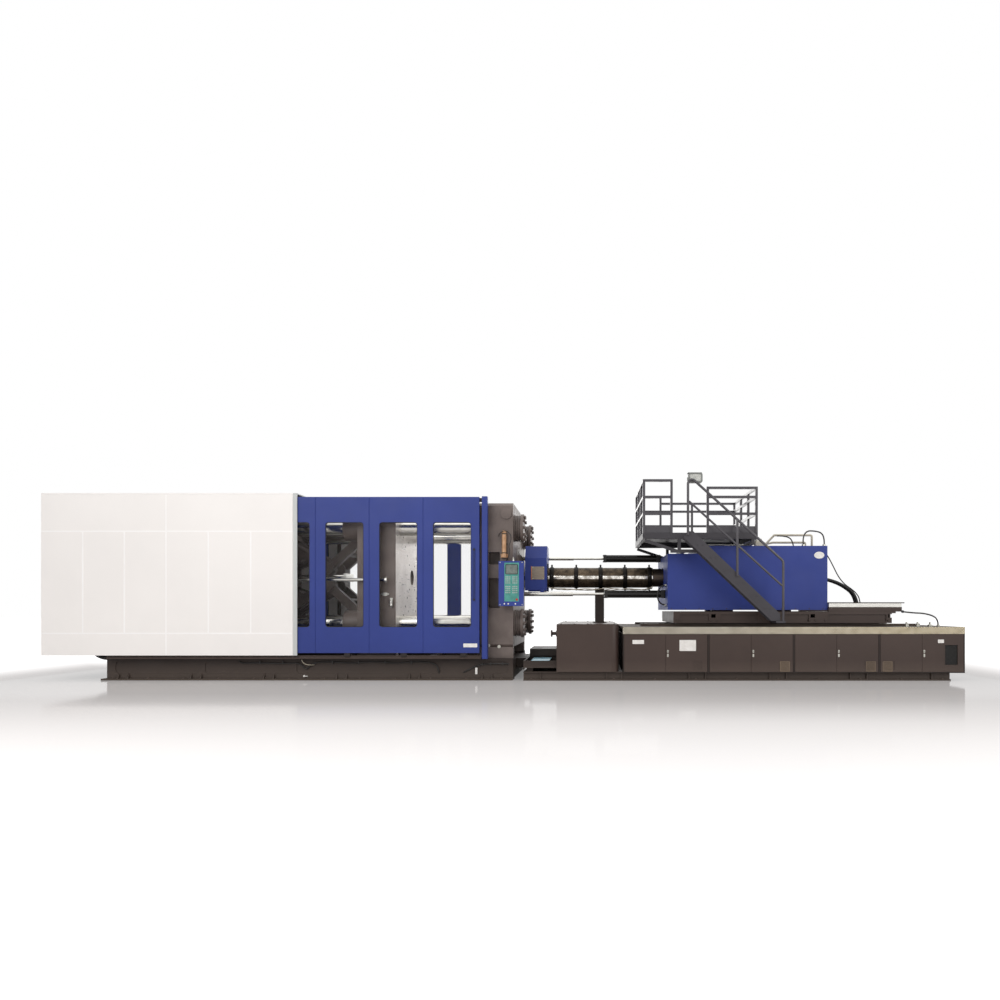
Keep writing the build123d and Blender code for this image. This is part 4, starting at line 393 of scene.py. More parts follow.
def make_materials(colours):
    """Every finish on the machine, by the record's slot or by its own name."""
    blue, umber, slate = colours.gate_blue, colours.base_umber, colours.platform_slate
    return {
        # Powder-coated sheet: flat even colour, and soft glints that the orange peel breaks up
        "white_enamel": white_cover_enamel(colours.cover_white),
        # The blue sheet is a shade lighter than the gates' blue, as painted sheen
        "blue_enamel": powder_coat("powder_coated_blue_sheet_painted_sheen", tone(blue, 1.14), tone(blue, 1.0), 0.48),
        "gate_enamel": powder_coat("powder_coated_blue_gate", tone(blue, 1.06), tone(blue, 0.92), 0.42, foot=SHOE_TOP),
        "drive_blue": powder_coat("powder_coated_deep_blue_edge", tone(blue, 0.6), tone(blue, 0.5), 0.34),
        # Stoved enamel on plate: a shade glossier, with dust that pales the foot of the cabinets
        "dark_enamel": powder_coat("enamelled_umber_steel", tone(umber), tone(umber, 0.8), 0.42, dusty=True),
        "grey_enamel": powder_coat("enamelled_slate_steel", tone(slate), tone(slate, 0.8), 0.40),
        "cream_pipe": powder_coat("enamelled_cream_tube", "#D9D2BF", "#C6BEA9", 0.4),
        "vent": powder_coat("pressed_bronze_grille", "#7E6E5C", "#66584A", 0.45),
        # Umber darkened as painted shade, dark and dull: the bases under the machine, and the cabinet frame in the gaps
        # between the leaves
        "base_enamel_painted_shade": powder_coat("umber_base_enamel_painted_shade", tone(umber, 0.5), tone(umber, 0.4), 0.5, dusty=True),
        "frame_painted_shade": powder_coat("umber_frame_painted_shade", tone(umber, 0.42), tone(umber, 0.34), 0.6),
        # Gloss enamel: smooth, so thin strips, tubes and knobs catch narrow bright lines
        "joint_white": powder_coat("gloss_white_joint_strip", "#FFFFFF", "#FBFAF9", 0.32),
        # The tubes' slate is lighter than the platform's as painted highlight, besides their real gloss
        "tube_enamel_painted_highlight": powder_coat("gloss_slate_tube_painted_highlight", tone(slate, 1.3), tone(slate, 1.1), 0.2, 6.0, 0.1,
                                   shine=0.5),
        "black_enamel": powder_coat("gloss_black_enamel", "#252322", "#1B1918", 0.26),
        # Castings under enamel: a pitted skin that mottles the glints
        "cast_enamel": cast_platen(),
        "lamp_grey": powder_coat("sand_cast_grey_enamel", "#8D908D", "#777A77", 0.42, 6.0, 0.5),
        # Ground, turned and plated steel: bright, with fine marks that stretch each glint across the grain
        "ground_steel": machined_steel("ground_hard_chromed_bar", "#E6E5E0", "#B4B1AA", 0.2),
        "bright_steel": machined_steel("brushed_bright_steel", "#DAD9D4", "#A8A6A1", 0.28),
        "zinc": machined_steel("zinc_plated_fastener", "#D0CFC6", "#9C9A92", 0.34, grain_mm=2.0),
        "braid": machined_steel("braided_sensor_lead", "#CFC7B6", "#8B8272", 0.45, grain_mm=3.0),
        "guard_plate": machined_steel("brushed_brown_plate", "#8F857A", "#6E645A", 0.33, grain_mm=3.0),
        "copper_edge": machined_steel("copper_coloured_strip", "#C8865A", "#9A6040", 0.3, "Z", 3.0),
        # Steel that heat has browned, and darkened slideway steel: the same marks, darker and duller
        "darkened_way": machined_steel("darkened_slideway_steel", "#5A524C", "#38322E", 0.38),
        "barrel_steel": machined_steel("heat_browned_barrel_steel", "#6B5F55", "#3B342F", 0.42),
        # Sheets with a pattern of their own, as their functions tell
        "heater_mesh": perforated_cover(),
        "chequer_plate": tread_plate(),
        "window_sheet": clear_sheet(),
        # Rubber: black and matt, with ribs or cloth marks that show as soft bands
        "hose_rubber": hose_rubber("ribbed_hose_rubber", 26),
        "hose_black": hose_rubber("wrapped_hose_rubber"),
        "seal": moulded_plastic("extruded_black_seal_rubber", "#1D1C20", "#141317", 0.6),
        "cable": moulded_plastic("black_cable_sheath", "#252220", "#171514", 0.5),
        # Plastics that let some light in: a warm or milky depth
        "grease_tan": moulded_plastic("translucent_grease_cartridge", "#D2A67C", "#B98A60", 0.3, 0.15),
        "lamp_glass": moulded_plastic("prismatic_lamp_glass", "#EDEFEA", "#CFD3CD", 0.2, 0.25),
        # Opaque plastics and films: clean colour, from glossy buttons to matt films, and a black sheet that is painted
        # shade in a recess
        "keypad_teal": moulded_plastic("screen_printed_polyester_overlay", "#4E9C92", "#41887F", 0.42),
        "button_white": moulded_plastic("gloss_white_acetal", "#EFEFEC", "#E2E2DE", 0.25),
        "button_red": moulded_plastic("gloss_red_acetal", "#C4402A", "#A93322", 0.25),
        "label": moulded_plastic("blank_white_label_film", "#F3F2EF", "#E6E4E0", 0.45),
        "screen": moulded_plastic("grey_liquid_crystal_screen", "#77827D", "#5E6965", 0.16),
        "key": moulded_plastic("domed_grey_key", "#A9B8B4", "#93A39F", 0.4),
        "tray_film": moulded_plastic("pale_blue_cover_plate", "#B4DCEB", "#8FC6DC", 0.3),
        "dark_recess": moulded_plastic("matt_black_painted_shade_sheet", "#12100F", "#0C0B0A", 0.8),
    }


MATERIALS = {}


def put(name, data):
    """A new object in the scene."""
    made = bpy.data.objects.new(name, data)
    bpy.context.scene.collection.objects.link(made)
    return made


def put_mesh(name, bm):
    """Turn a built mesh into an object in the scene."""
    mesh = bpy.data.meshes.new(name)
    bm.to_mesh(mesh)
    bm.free()
    return put(name, mesh)


def round_edges(made, width, angle):
    """Soften the edges that turn by more than an angle in degrees."""
    edge = made.modifiers.new("edge", "BEVEL")
    edge.width = width
    edge.segments = 2
    edge.limit_method = "ANGLE"
    edge.angle_limit = math.radians(angle)


def round_angles(sides):
    """Even steps round a circle."""
    return [2 * math.pi * i / sides for i in range(sides)]


def wall(bm, near, far):
    """Faces between two rings of points."""
    faces = []
    for i in range(len(near)):
        j = (i + 1) % len(near)
        faces.append(bm.faces.new((near[i], near[j], far[j], far[i])))
    return faces


def box(bm, x0, x1, y0, y1, z0, z1):
    """A plain block between its two ends on each axis."""
    v = [bm.verts.new((x, y, z)) for x in (x0, x1) for y in (y0, y1) for z in (z0, z1)]
    for f in ((0, 1, 3, 2), (4, 6, 7, 5), (0, 4, 5, 1), (2, 3, 7, 6), (0, 2, 6, 4), (1, 5, 7, 3)):
        bm.faces.new([v[i] for i in f])


def drum(bm, base, axis, radius, height, sides=20, top=None):
    """A round or many-sided stud that stands on base and points along axis."""
    turn = Vector((0, 0, 1)).rotation_difference(Vector(axis)).to_matrix()
    low, high = [[bm.verts.new(Vector(base) + turn @ Vector((r * math.cos(a), r * math.sin(a), h)))
                  for a in round_angles(sides)]
                 for r, h in ((radius, 0.0), (radius if top is None else top, height))]
    wall(bm, low, high)
    bm.faces.new(high)
    bm.faces.new(list(reversed(low)))


def screw(bm, base, axis, size):
    """A hexagon head on its washer. size is the head's width."""
    drum(bm, base, axis, size * 0.72, size * 0.10, 16)
    drum(bm, Vector(base) + Vector(axis) * size * 0.10, axis, size * 0.55, size * 0.36, 6, size * 0.52)


def rounded_loop(x0, x1, z0, z1, corner, steps=6):
    """Points round a rectangle with rounded corners, in X and Z."""
    points = []
    left, right, low, high = x0 + corner, x1 - corner, z0 + corner, z1 - corner
    for quarter, (cx, cz) in enumerate(((right, high), (left, high), (left, low), (right, low))):
        for i in range(steps + 1):
            a = math.radians(90 * (quarter + i / steps))
            points.append((cx + corner * math.cos(a), cz + corner * math.sin(a)))
    return points


def frame_ring(bm, x0, x1, z0, z1, corner, width, y0, y1):
    """A flat ring round a rounded opening, from y0 to y1."""
    outer = rounded_loop(x0, x1, z0, z1, corner)
    inner = rounded_loop(x0 + width, x1 - width, z0 + width, z1 - width, max(corner - width, 0.004))
    rings = [[bm.verts.new((x, y, z)) for x, z in loop]
             for loop, y in ((outer, y0), (outer, y1), (inner, y1), (inner, y0))]
    for k in range(4):
        wall(bm, rings[k], rings[(k + 1) % 4])


def rounded_plate(bm, x0, x1, z0, z1, corner, y0, y1):
    """A plate with rounded corners, from y0 to y1."""
    loop = rounded_loop(x0, x1, z0, z1, corner, 5)
    near, far = [[bm.verts.new((x, y, z)) for x, z in loop] for y in (y0, y1)]
    bm.faces.new(near)
    bm.faces.new(list(reversed(far)))
    wall(bm, far, near)


def lying_plate(bm, *values):
    """A rounded plate that lies flat: Y and Z change places."""
    rounded_plate(bm, *values)
    for knot in bm.verts:
        knot.co.y, knot.co.z = knot.co.z, knot.co.y


def oval_plate(bm, x, z, half_width, half_height, y0, y1, sides=40):
    """An oval plate that is open at its back."""
    near, far = [[bm.verts.new((x + half_width * math.cos(a), y, z + half_height * math.sin(a)))
                  for a in round_angles(sides)] for y in (y0, y1)]
    bm.faces.new(near)
    wall(bm, far, near)


def piece(name, finish, body, shapes, bevel_mm=1.0):
    """Make a named piece that rides on a body. Each shape is a mesh builder and the values it takes."""
    bm = bmesh.new()
    for build, *values in shapes:
        build(bm, *values)
    bmesh.ops.recalc_face_normals(bm, faces=bm.faces)
    made = put_mesh(name, bm)
    made.data.materials.append(MATERIALS[finish])
    round_edges(made, bevel_mm / 1000, FITTING_ANGLE)
    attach(made, body)


def on_line(points, steps=10):
    """Places along the smooth line that hose() draws through these points."""
    knots = [Vector(point) for point in points]
    places = [knots[0]]
    for i in range(1, len(knots) - 1):
        first = knots[0] if i == 1 else (knots[i - 1] + knots[i]) / 2
        last = knots[-1] if i == len(knots) - 2 else (knots[i] + knots[i + 1]) / 2
        for step in range(1, steps + 1):
            s = step / steps
            places.append(first * (1 - s) ** 2 + knots[i] * 2 * s * (1 - s) + last * s * s)
    return places


def hose(name, points, radius, finish, body, node=None):
    """A hose or lead on one smooth line. It starts and ends at the outer points, and the others pull it to them."""
    line = bpy.data.curves.new(name, "CURVE")
    line.dimensions = "3D"
    line.bevel_depth = radius
    line.bevel_resolution = 4
    line.use_fill_caps = True
    spline = line.splines.new("NURBS")
    spline.points.add(len(points) - 1)
    for knot, point in zip(spline.points, points):
        knot.co = (*point, 1.0)
    spline.order_u = 3
    spline.use_endpoint_u = True
    spline.resolution_u = 12
    line.materials.append(MATERIALS[finish])
    made = put(name, line)
    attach(made, body)
    if node:
        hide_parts(node)
    return made


def level_line(y, places):
    """Points of a hose that stays at one Y, from its places in X and Z."""
    return tuple((x, y, z) for x, z in places)


DRIVE_LINE = ((5.017, 1.58), (5.15, 1.575), (5.43, 1.475), (5.66, 1.29), (5.67, 1.04))
PILOT_LINE = ((5.017, 2.00), (5.11, 2.00), (5.20, 1.85), (5.36, 1.52), (5.60, 1.36), (5.68, 1.22), (5.68, 1.04))
SUCTION_LINE = ((-6.30, 0.30), (-6.353, 0.30), (-6.485, 0.30), (-6.605, 0.362), (-6.68, 0.47), (-6.698, 0.602),
                (-6.655, 0.724), (-6.56, 0.90))
ROOF_LINE = ((4.655, 2.068), (4.640, 2.19), (4.70, 2.305), (4.83, 2.305), (4.945, 2.275), (4.985, 2.17), (4.980, 2.068))
VALVE_LINE = ((4.33, -0.41, 2.262), (4.46, -0.43, 2.262), (4.575, -0.45, 2.20), (4.59, -0.45, 2.068))
GREASE_LINE = ((-0.085, -1.131, 2.19), (-0.085, -1.20, 2.20), (-0.04, -1.245, 2.245), (0.03, -1.250, 2.27),
               (0.105, -1.240, 2.215), (0.112, -1.235, 2.12), (0.070, -1.240, 2.03), (0.100, -1.240, 1.96),
               (0.060, -1.235, 1.85), (0.031, -1.19, 1.805), (0.031, -1.131, 1.80))
HOOK_LINE = ((-3.06, -1.201, 0.345), (-3.06, -1.232, 0.335), (-3.055, -1.245, 0.300), (-3.025, -1.245, 0.255),
             (-2.965, -1.240, 0.233), (-2.915, -1.230, 0.232), (-2.880, -1.201, 0.232))
HOOD_LINE = ((2.521, 1.457), (2.425, 1.457), (2.365, 1.300), (2.425, 1.143), (2.521, 1.143))

# The free hoses: name, body, finish, diameter, length, the CAD node it stands for, and its line.
# Each goes back into the machine at its far end.
HOSES = (
    ("drive_hose_near", "carriage", "hose_black", 0.048, 0.949, "carriage_hoses", level_line(-0.33, DRIVE_LINE)),
    ("drive_hose_far", "carriage", "hose_black", 0.048, 0.949, "carriage_hoses", level_line(-0.24, DRIVE_LINE)),
    ("pilot_hose", "carriage", "cable", 0.018, 1.232, "carriage_hoses", level_line(-0.42, PILOT_LINE)),
    ("suction_hose_near", "machine", "hose_rubber", 0.068, 0.904, "suction_hoses", level_line(-0.55, SUCTION_LINE)),
    ("suction_hose_far", "machine", "hose_rubber", 0.068, 0.904, "suction_hoses", level_line(-0.45, SUCTION_LINE)),
    ("roof_loop_hose", "carriage", "cable", 0.022, 0.687, None, level_line(-0.80, ROOF_LINE)),
    ("valve_hose", "carriage", "cable", 0.020, 0.379, None, VALVE_LINE),
    ("grease_lead", "machine", "cable", 0.012, 0.792, None, GREASE_LINE),
    ("hook_hose", "machine", "braid", 0.012, 0.277, None, HOOK_LINE),
    ("hood_hose_near", "carriage", "cable", 0.020, 0.479, None, level_line(-0.66, HOOD_LINE)),
    ("hood_hose_far", "carriage", "cable", 0.020, 0.479, None, level_line(-0.60, HOOD_LINE)),
)

# The cable from the sled's end down to the deck.
SLED_CABLE = ((6.150, -0.93, 1.04), (6.30, -0.95, 1.02), (6.47, -0.97, 1.015), (6.63, -0.985, 0.97),
              (6.685, -0.99, 0.89), (6.685, -0.99, 0.812))
SLED_CABLE_DIAMETER = 0.022
SLED_CABLE_SIDES = 12


class MachineSizes(bpy.types.PropertyGroup):
    """Sizes of the fittings that are added to the solids."""
    seal_width: bpy.props.FloatProperty(name="Seal width", description="Width of the seal that holds each window pane",
                                        default=0.009, min=0.004, max=0.03, unit="LENGTH")
    edge_round: bpy.props.FloatProperty(name="Edge rounding", description="Softening of the sheet and plate edges",
                                        default=0.003, min=0.0005, max=0.006, unit="LENGTH")
    key_pitch: bpy.props.FloatProperty(name="Key pitch", description="Spacing of the keys on the operator panel",
                                       default=0.027, min=0.02, max=0.03, unit="LENGTH")
    lead_radius: bpy.props.FloatProperty(name="Sensor lead radius", description="Radius of the leads under the barrel",
                                         default=0.006, min=0.002, max=0.01, unit="LENGTH")
    cable_radius: bpy.props.FloatProperty(name="Cable radius", description="Radius of the cable along the clamp base",
                                          default=0.010, min=0.004, max=0.02, unit="LENGTH")


class MachineColours(bpy.types.PropertyGroup):
    """Colours of the painted parts."""
    cover_white: bpy.props.FloatVectorProperty(name="Cover", description="Colour of the clamp unit's cover",
                                               subtype="COLOR", size=3, min=0, max=1, default=linear("#F7F5F3")[:3])
    gate_blue: bpy.props.FloatVectorProperty(name="Gates and hood", description="Colour of the gates, guard and hood",
                                             subtype="COLOR", size=3, min=0, max=1, default=linear("#2F3F87")[:3])
    base_umber: bpy.props.FloatVectorProperty(name="Base and cabinets", description="Colour of base, cabinets and tank",
                                              subtype="COLOR", size=3, min=0, max=1, default=linear("#473A35")[:3])
    platform_slate: bpy.props.FloatVectorProperty(name="Platform and stairs",
                                                  description="Colour of the platform and stairs", subtype="COLOR",
                                                  size=3, min=0, max=1, default=linear("#434146")[:3])


class StudioLook(bpy.types.PropertyGroup):
    """Colour and light of the studio."""
    # The floor's pink tint is a painted reflection of the umber base
    floor_colour: bpy.props.FloatVectorProperty(name="Floor", description="Colour of the studio floor", subtype="COLOR",
                                                size=3, min=0, max=1, default=linear("#EFE8E6")[:3])
    world_level: bpy.props.FloatProperty(name="World level", description="Brightness of the light from all round",
                                         default=0.52, min=0, max=2)
    key_power: bpy.props.FloatProperty(name="Key power", description="Power of the large softbox in front",
                                       default=335.0, min=0, max=4000, unit="POWER")


class MACHINE_OT_finishes(bpy.types.Operator):
    """Make every finish from the chosen colours"""
    bl_idname = "machine.finishes"
    bl_label = "Make the finishes"

    def execute(self, context):
        MATERIALS.clear()
        MATERIALS.update(make_materials(context.scene.machine_colours))
        return {"FINISHED"}


class MACHINE_OT_finish_solids(bpy.types.Operator):
    """Give every solid its finish and soften its edges"""
    bl_idname = "machine.finish_solids"
    bl_label = "Finish the solids"

    def execute(self, context):
        sizes = context.scene.machine_sizes
        for row in frame["record"]["subparts"]:
            node = row["node"]
            finish = OWN_FINISH.get(node, row["material_slot"])
            if finish not in MATERIALS:
                raise RuntimeError("no finish for slot " + finish)
            solid = NODES[node]
            solid.data.materials.clear()
            solid.data.materials.append(MATERIALS[finish])
            if node in SHARP_NODES:
                continue
            weld = solid.modifiers.new("weld", "WELD")
            weld.merge_threshold = WELD_GAP
            round_edges(solid, BUTTON_ROUND if "button" in node else sizes.edge_round, SOLID_ANGLE)
        return {"FINISHED"}


class MACHINE_OT_cover_joints(bpy.types.Operator):
    """White strips over the joints between the cover's panels"""
    bl_idname = "machine.cover_joints"
    bl_label = "Strip the cover's joints"

    def execute(self, context):
        half = JOINT_STRIP_HALF
        strips = []
        for side in SIDES:
            y = sorted((side * 1.3508, side * 1.3495))
            strips.append((box, COVER_SPLIT - half, COVER_SPLIT + half, *y, 0.384, 2.798))
            for left, right in ((COVER_LEFT, COVER_SPLIT), (COVER_SPLIT, COVER_RIGHT)):
                for k in (1, 2):
                    x = left + (right - left) * k / 3
                    strips.append((box, x - half, x + half, *y, COVER_LOW_SEAM, COVER_HIGH_SEAM))
            y = sorted((side * 1.3512, side * 1.3495))
            strips += [(box, -6.928, -3.157, *y, z - half, z + half) for z in (COVER_LOW_SEAM, COVER_HIGH_SEAM)]
        piece("cover_joint_strips", "joint_white", "machine", strips, 0.4)
        return {"FINISHED"}


class MACHINE_OT_gates(bpy.types.Operator):
    """Window seals, handle backing and the blank label of the sliding gates"""
    bl_idname = "machine.gates"
    bl_label = "Dress the gates"

    def execute(self, context):
        width = context.scene.machine_sizes.seal_width
        for side, body in zip(SIDES, ("front_gate", "rear_gate")):
            y = sorted((side * 1.312, side * 1.294))
            seals = []
            for i in range(4):
                x1 = WINDOW_RIGHT - i * GATE_PANEL
                seals.append((frame_ring, x1 - WINDOW_WIDTH, x1, WINDOW_LOW, WINDOW_HIGH, WINDOW_CORNER, width, *y))
            piece("window_seals_" + body, "seal", body, seals, 1.0)
            y = sorted((side * 1.3225, side * 1.3195))
            backing = (rounded_plate, -0.458, -0.418, 1.195, 2.000, 0.012, *y)
            piece("handle_backing_" + body, "drive_blue", body, [backing])
            y = sorted((side * 1.3308, side * 1.322))
            grip = (rounded_plate, -0.4515, -0.4265, 1.206, 1.986, 0.010, *y)
            piece("handle_grip_" + body, "drive_blue", body, [grip], 2.0)
            piece("handle_caps_" + body, "seal", body,
                  [(drum, (-0.438, side * 1.3285, z), (0, side, 0), 0.016, 0.006, 18) for z in (1.222, 1.973)])
        label = (rounded_plate, -0.600, -0.390, 0.504, 0.561, 0.008, -1.3218, -1.3196)
        piece("gate_label", "label", "front_gate", [label], 0.4)
        return {"FINISHED"}


class MACHINE_OT_platen_fittings(bpy.types.Operator):
    """Bands of the grease cartridge and the two bright screws at the foot of the fixed platen"""
    bl_idname = "machine.platen_fittings"
    bl_label = "Fit the platens"

    def execute(self, context):
        bands = [(drum, (0, -1.19, z), (0, 0, 1), 0.0360, 0.014, 28) for z in (1.925, 2.215)]
        bands.append((box, -0.046, 0.046, -1.166, -1.128, 2.060, 2.078))
        piece("grease_cartridge_bands", "seal", "machine", bands)
        piece("platen_foot_screws", "zinc", "machine",
              [(screw, (x, -1.129, z), (0, -1, 0), 0.036) for x, z in ((-0.245, 0.520), (-0.083, 0.505))], 0.8)
        return {"FINISHED"}


class MACHINE_OT_operator_panel(bpy.types.Operator):
    """Screen, key blocks and screws of the operator panel, and the fitting on its top"""
    bl_idname = "machine.operator_panel"
    bl_label = "Dress the operator panel"

    def execute(self, context):
        body = "operator_panel"
        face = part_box("keypad")[0].y
        pitch = context.scene.machine_sizes.key_pitch
        bezel = (frame_ring, 0.036, 0.222, 1.600, 1.752, 0.010, 0.010, face - 0.004, face + 0.001)
        piece("screen_bezel", "seal", body, [bezel], 0.6)
        screen = (rounded_plate, 0.044, 0.214, 1.608, 1.744, 0.004, face - 0.0015, face + 0.001)
        piece("panel_screen", "screen", body, [screen], 0.3)
        keys = []
        for left in (0.035, 0.140):
            for top in (1.570, 1.425):
                for row in range(4):
                    for column in range(3):
                        x, z = left + column * pitch, top - row * 0.030
                        keys.append((rounded_plate, x, x + 0.020, z - 0.018, z, 0.004, face - 0.0025, face + 0.001))
        piece("panel_keys", "key", body, keys, 0.8)
        corners = ((-0.045, 1.145), (0.287, 1.145), (-0.045, 1.780), (0.287, 1.780))
        screws = [(drum, (x, face + 0.001, z), (0, -1, 0), 0.008, 0.0025, 16) for x, z in corners]
        screws.append((drum, (0.148, face + 0.070, 1.799), (0, 0, 1), 0.017, 0.040, 20, 0.015))
        screws.append((drum, (0.148, face + 0.070, 1.838), (0, 0, 1), 0.011, 0.022, 6))
        piece("panel_screws", "zinc", body, screws, 0.4)
        return {"FINISHED"}


class MACHINE_OT_injection_line(bpy.types.Operator):
    """Plate of the purge guard, and the leads and clamps along the barrel"""
    bl_idname = "machine.injection_line"
    bl_label = "Dress the barrel"

    def execute(self, context):
        body = "purge_guard"
        plate = (rounded_plate, 0.360, 0.565, 1.560, 1.770, 0.008, -0.3565, -0.3525)
        piece("guard_plate", "guard_plate", body, [plate], 0.6)
        piece("guard_plate_edge", "copper_edge", body, [(box, 0.350, 0.362, -0.3575, -0.3525, 1.556, 1.774)], 0.6)
        screws = [(drum, (x, -0.3565, z), (0, -1, 0), 0.006, 0.003, 14)
                  for x in (0.378, 0.553) for z in (1.572, 1.758)]
        piece("guard_screws", "zinc", body, screws, 0.5)
        radius = context.scene.machine_sizes.lead_radius
        for k, (y, low) in enumerate(((-0.10, 1.398), (-0.05, 1.405), (-0.14, 1.412))):
            path = []
            for i in range(18):
                sag = 0.010 * math.sin(i * 1.7 + k * 2.1) + 0.006 * math.sin(i * 0.6 + k)
                path.append((0.64 + i * 0.1, y, low + sag + (0.03 if i in (0, 17) else 0.0)))
            hose("sensor_lead_%d" % (k + 1), path, radius, "braid", "carriage")
        fittings = []
        for i in range(5):
            x = 0.674 + i * BAND_PITCH
            fittings += [(screw, (x, side * 0.176, AXIS_Z + 0.03), (0, side, 0), 0.022) for side in SIDES]
            fittings.append((drum, (x, 0, AXIS_Z - 0.176), (0, 0, -1), 0.012, 0.030, 12))
            fittings.append((box, x - 0.010, x + 0.010, -0.15, -0.04, AXIS_Z - 0.212, AXIS_Z - 0.203))
        piece("band_fittings", "seal", "carriage", fittings, 0.8)
        piece("hood_hose_fittings", "zinc", "carriage",
              [(drum, (2.5205, y, z), (-1, 0, 0), 0.021, 0.030, 6) for y in (-0.66, -0.60) for z in (1.143, 1.457)])
        return {"FINISHED"}


class MACHINE_OT_base_fittings(bpy.types.Operator):
    """Cables, drain valve, tag and anchor bolts along the clamp base"""
    bl_idname = "machine.base_fittings"
    bl_label = "Dress the clamp base"

    def execute(self, context):
        radius = context.scene.machine_sizes.cable_radius
        y = -1.2 - radius
        path = [(-4.02, -1.196, 0.290), (-3.99, y, 0.262)]
        path += [(-3.93 + i * 0.1, y, 0.258 + 0.004 * math.sin(i * 0.9)) for i in range(9)]
        path += [(-3.05, y, 0.215), (-3.00, y, 0.160), (-2.95, y, 0.215), (-2.88, y, 0.258)]
        path += [(-2.80 + i * 0.1, y, 0.270 + 0.010 * math.sin(i * 0.95)) for i in range(17)]
        path += [(-1.10, y, 0.262), (-1.02, y, 0.230), (-0.99, y, 0.150), (-0.985, -1.196, 0.105)]
        hose("base_cable", path, radius, "cable", "machine")
        path = [(-0.62, -1.196, 0.115), (-0.58, y, 0.135), (-0.50, y, 0.178), (-0.40, y, 0.222), (-0.28, y, 0.248),
                (-0.10, y, 0.252), (0.04, y, 0.248), (0.075, -1.196, 0.245)]
        hose("platen_cable", path, radius, "cable", "machine")
        clips = [(x, 0.246, 0.292) for x in (-3.70, -3.35, -2.60, -2.20, -1.80, -1.40)]
        clips += [(x, 0.226, 0.268) for x in (-0.33, -0.20, -0.02)]
        piece("cable_clips", "cable", "machine",
              [(box, x - 0.009, x + 0.009, -1.2235, BASE_SIDE, z0, z1) for x, z0, z1 in clips])
        piece("drain_valve_and_tag", "label", "machine", [
            (drum, (-3.03, BASE_SIDE, 0.062), (0, -1, 0), 0.017, 0.028, 16, 0.013),
            (box, -3.020, -2.975, -1.220, -1.208, 0.056, 0.066),
            (rounded_plate, -0.437, -0.404, 0.090, 0.190, 0.006, -1.206, BASE_SIDE)])
        bolts = []
        for side in SIDES:
            bolts += [(screw, (-5.92 + i * 0.535, side * 1.232, 0.025), (0, 0, 1), 0.030) for i in range(12)]
            bolts += [(screw, (0.42 + i * 0.62, side * 1.281, 0.020), (0, 0, 1), 0.030) for i in range(11)]
        piece("anchor_bolts", "dark_enamel", "machine", bolts, 0.8)
        return {"FINISHED"}


class MACHINE_OT_cabinets(bpy.types.Operator):
    """Latches, blank labels and grilles of the cabinet doors, the tank's lid and the tray's cover"""
    bl_idname = "machine.cabinets"
    bl_label = "Dress the cabinets"

    def execute(self, context):
        for index in (2, 4, 6, 8):
            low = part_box("cabinet_door_%d" % index)[0]
            x, y = low.x + 0.030, low.y
            piece("latch_%d" % index, "zinc", "cabinet_leaf_%d" % index, [
                (rounded_plate, x - 0.012, x + 0.012, 0.425, 0.465, 0.006, y - 0.0002, y + 0.005),
                (rounded_plate, x - 0.012, x + 0.012, 0.360, 0.408, 0.006, y - 0.0002, y + 0.005),
                (drum, (x, y + 0.002, 0.445), (0, -1, 0), 0.007, 0.0022, 18)], 0.4)
        for index, left in ((4, 4.160), (6, 5.450), (7, 5.700)):
            face = max(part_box("cabinet_door_%d" % index)[0].y, FRONT + 0.002)
            bars = [(frame_ring, left - 0.004, left + 0.144, 0.140, 0.294, 0.010, 0.010, face - 0.0012, face + 0.004)]
            for i in range(9):
                z = 0.155 + i * 0.0142
                bars.append((box, left + 0.004, left + 0.136, face - 0.0006, face + 0.004, z, z + 0.008))
            piece("grille_%d" % index, "vent", "cabinet_leaf_%d" % index, bars, 0.5)
        labels = ((1, 1.9425, 2.115, 0.555, 0.615), (2, 2.6475, 2.895, 0.450, 0.615), (8, 6.525, 6.615, 0.570, 0.622))
        for index, *edges in labels:
            face = max(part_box("cabinet_door_%d" % index)[0].y, FRONT + 0.002)
            piece("blank_label_%d" % index, "label", "cabinet_leaf_%d" % index,
                  [(rounded_plate, *edges, 0.006, face - 0.0014, face + 0.001)], 0.3)
        # A black sheet inside the last leaf's recess: painted shade
        piece("painted_shade_in_recess", "dark_recess", "cabinet_leaf_8",
              [(rounded_plate, 6.641, 6.821, 0.244, 0.536, 0.006, FRONT + 0.0145, FRONT + 0.0165)], 0.8)
        lid = [(box, 0.812, 1.728, -1.318, 1.318, 0.850, 0.853)]
        lid += [(screw, (0.87 + i * 0.2, y, 0.853), (0, 0, 1), 0.018) for y in (-1.28, 1.28) for i in range(5)]
        piece("tank_lid", "dark_enamel", "machine", lid)
        cover = (lying_plate, 0.414, 0.694, -1.260, -0.500, 0.020, 0.300, 0.304)
        piece("tray_cover", "tray_film", "machine", [cover])
        return {"FINISHED"}


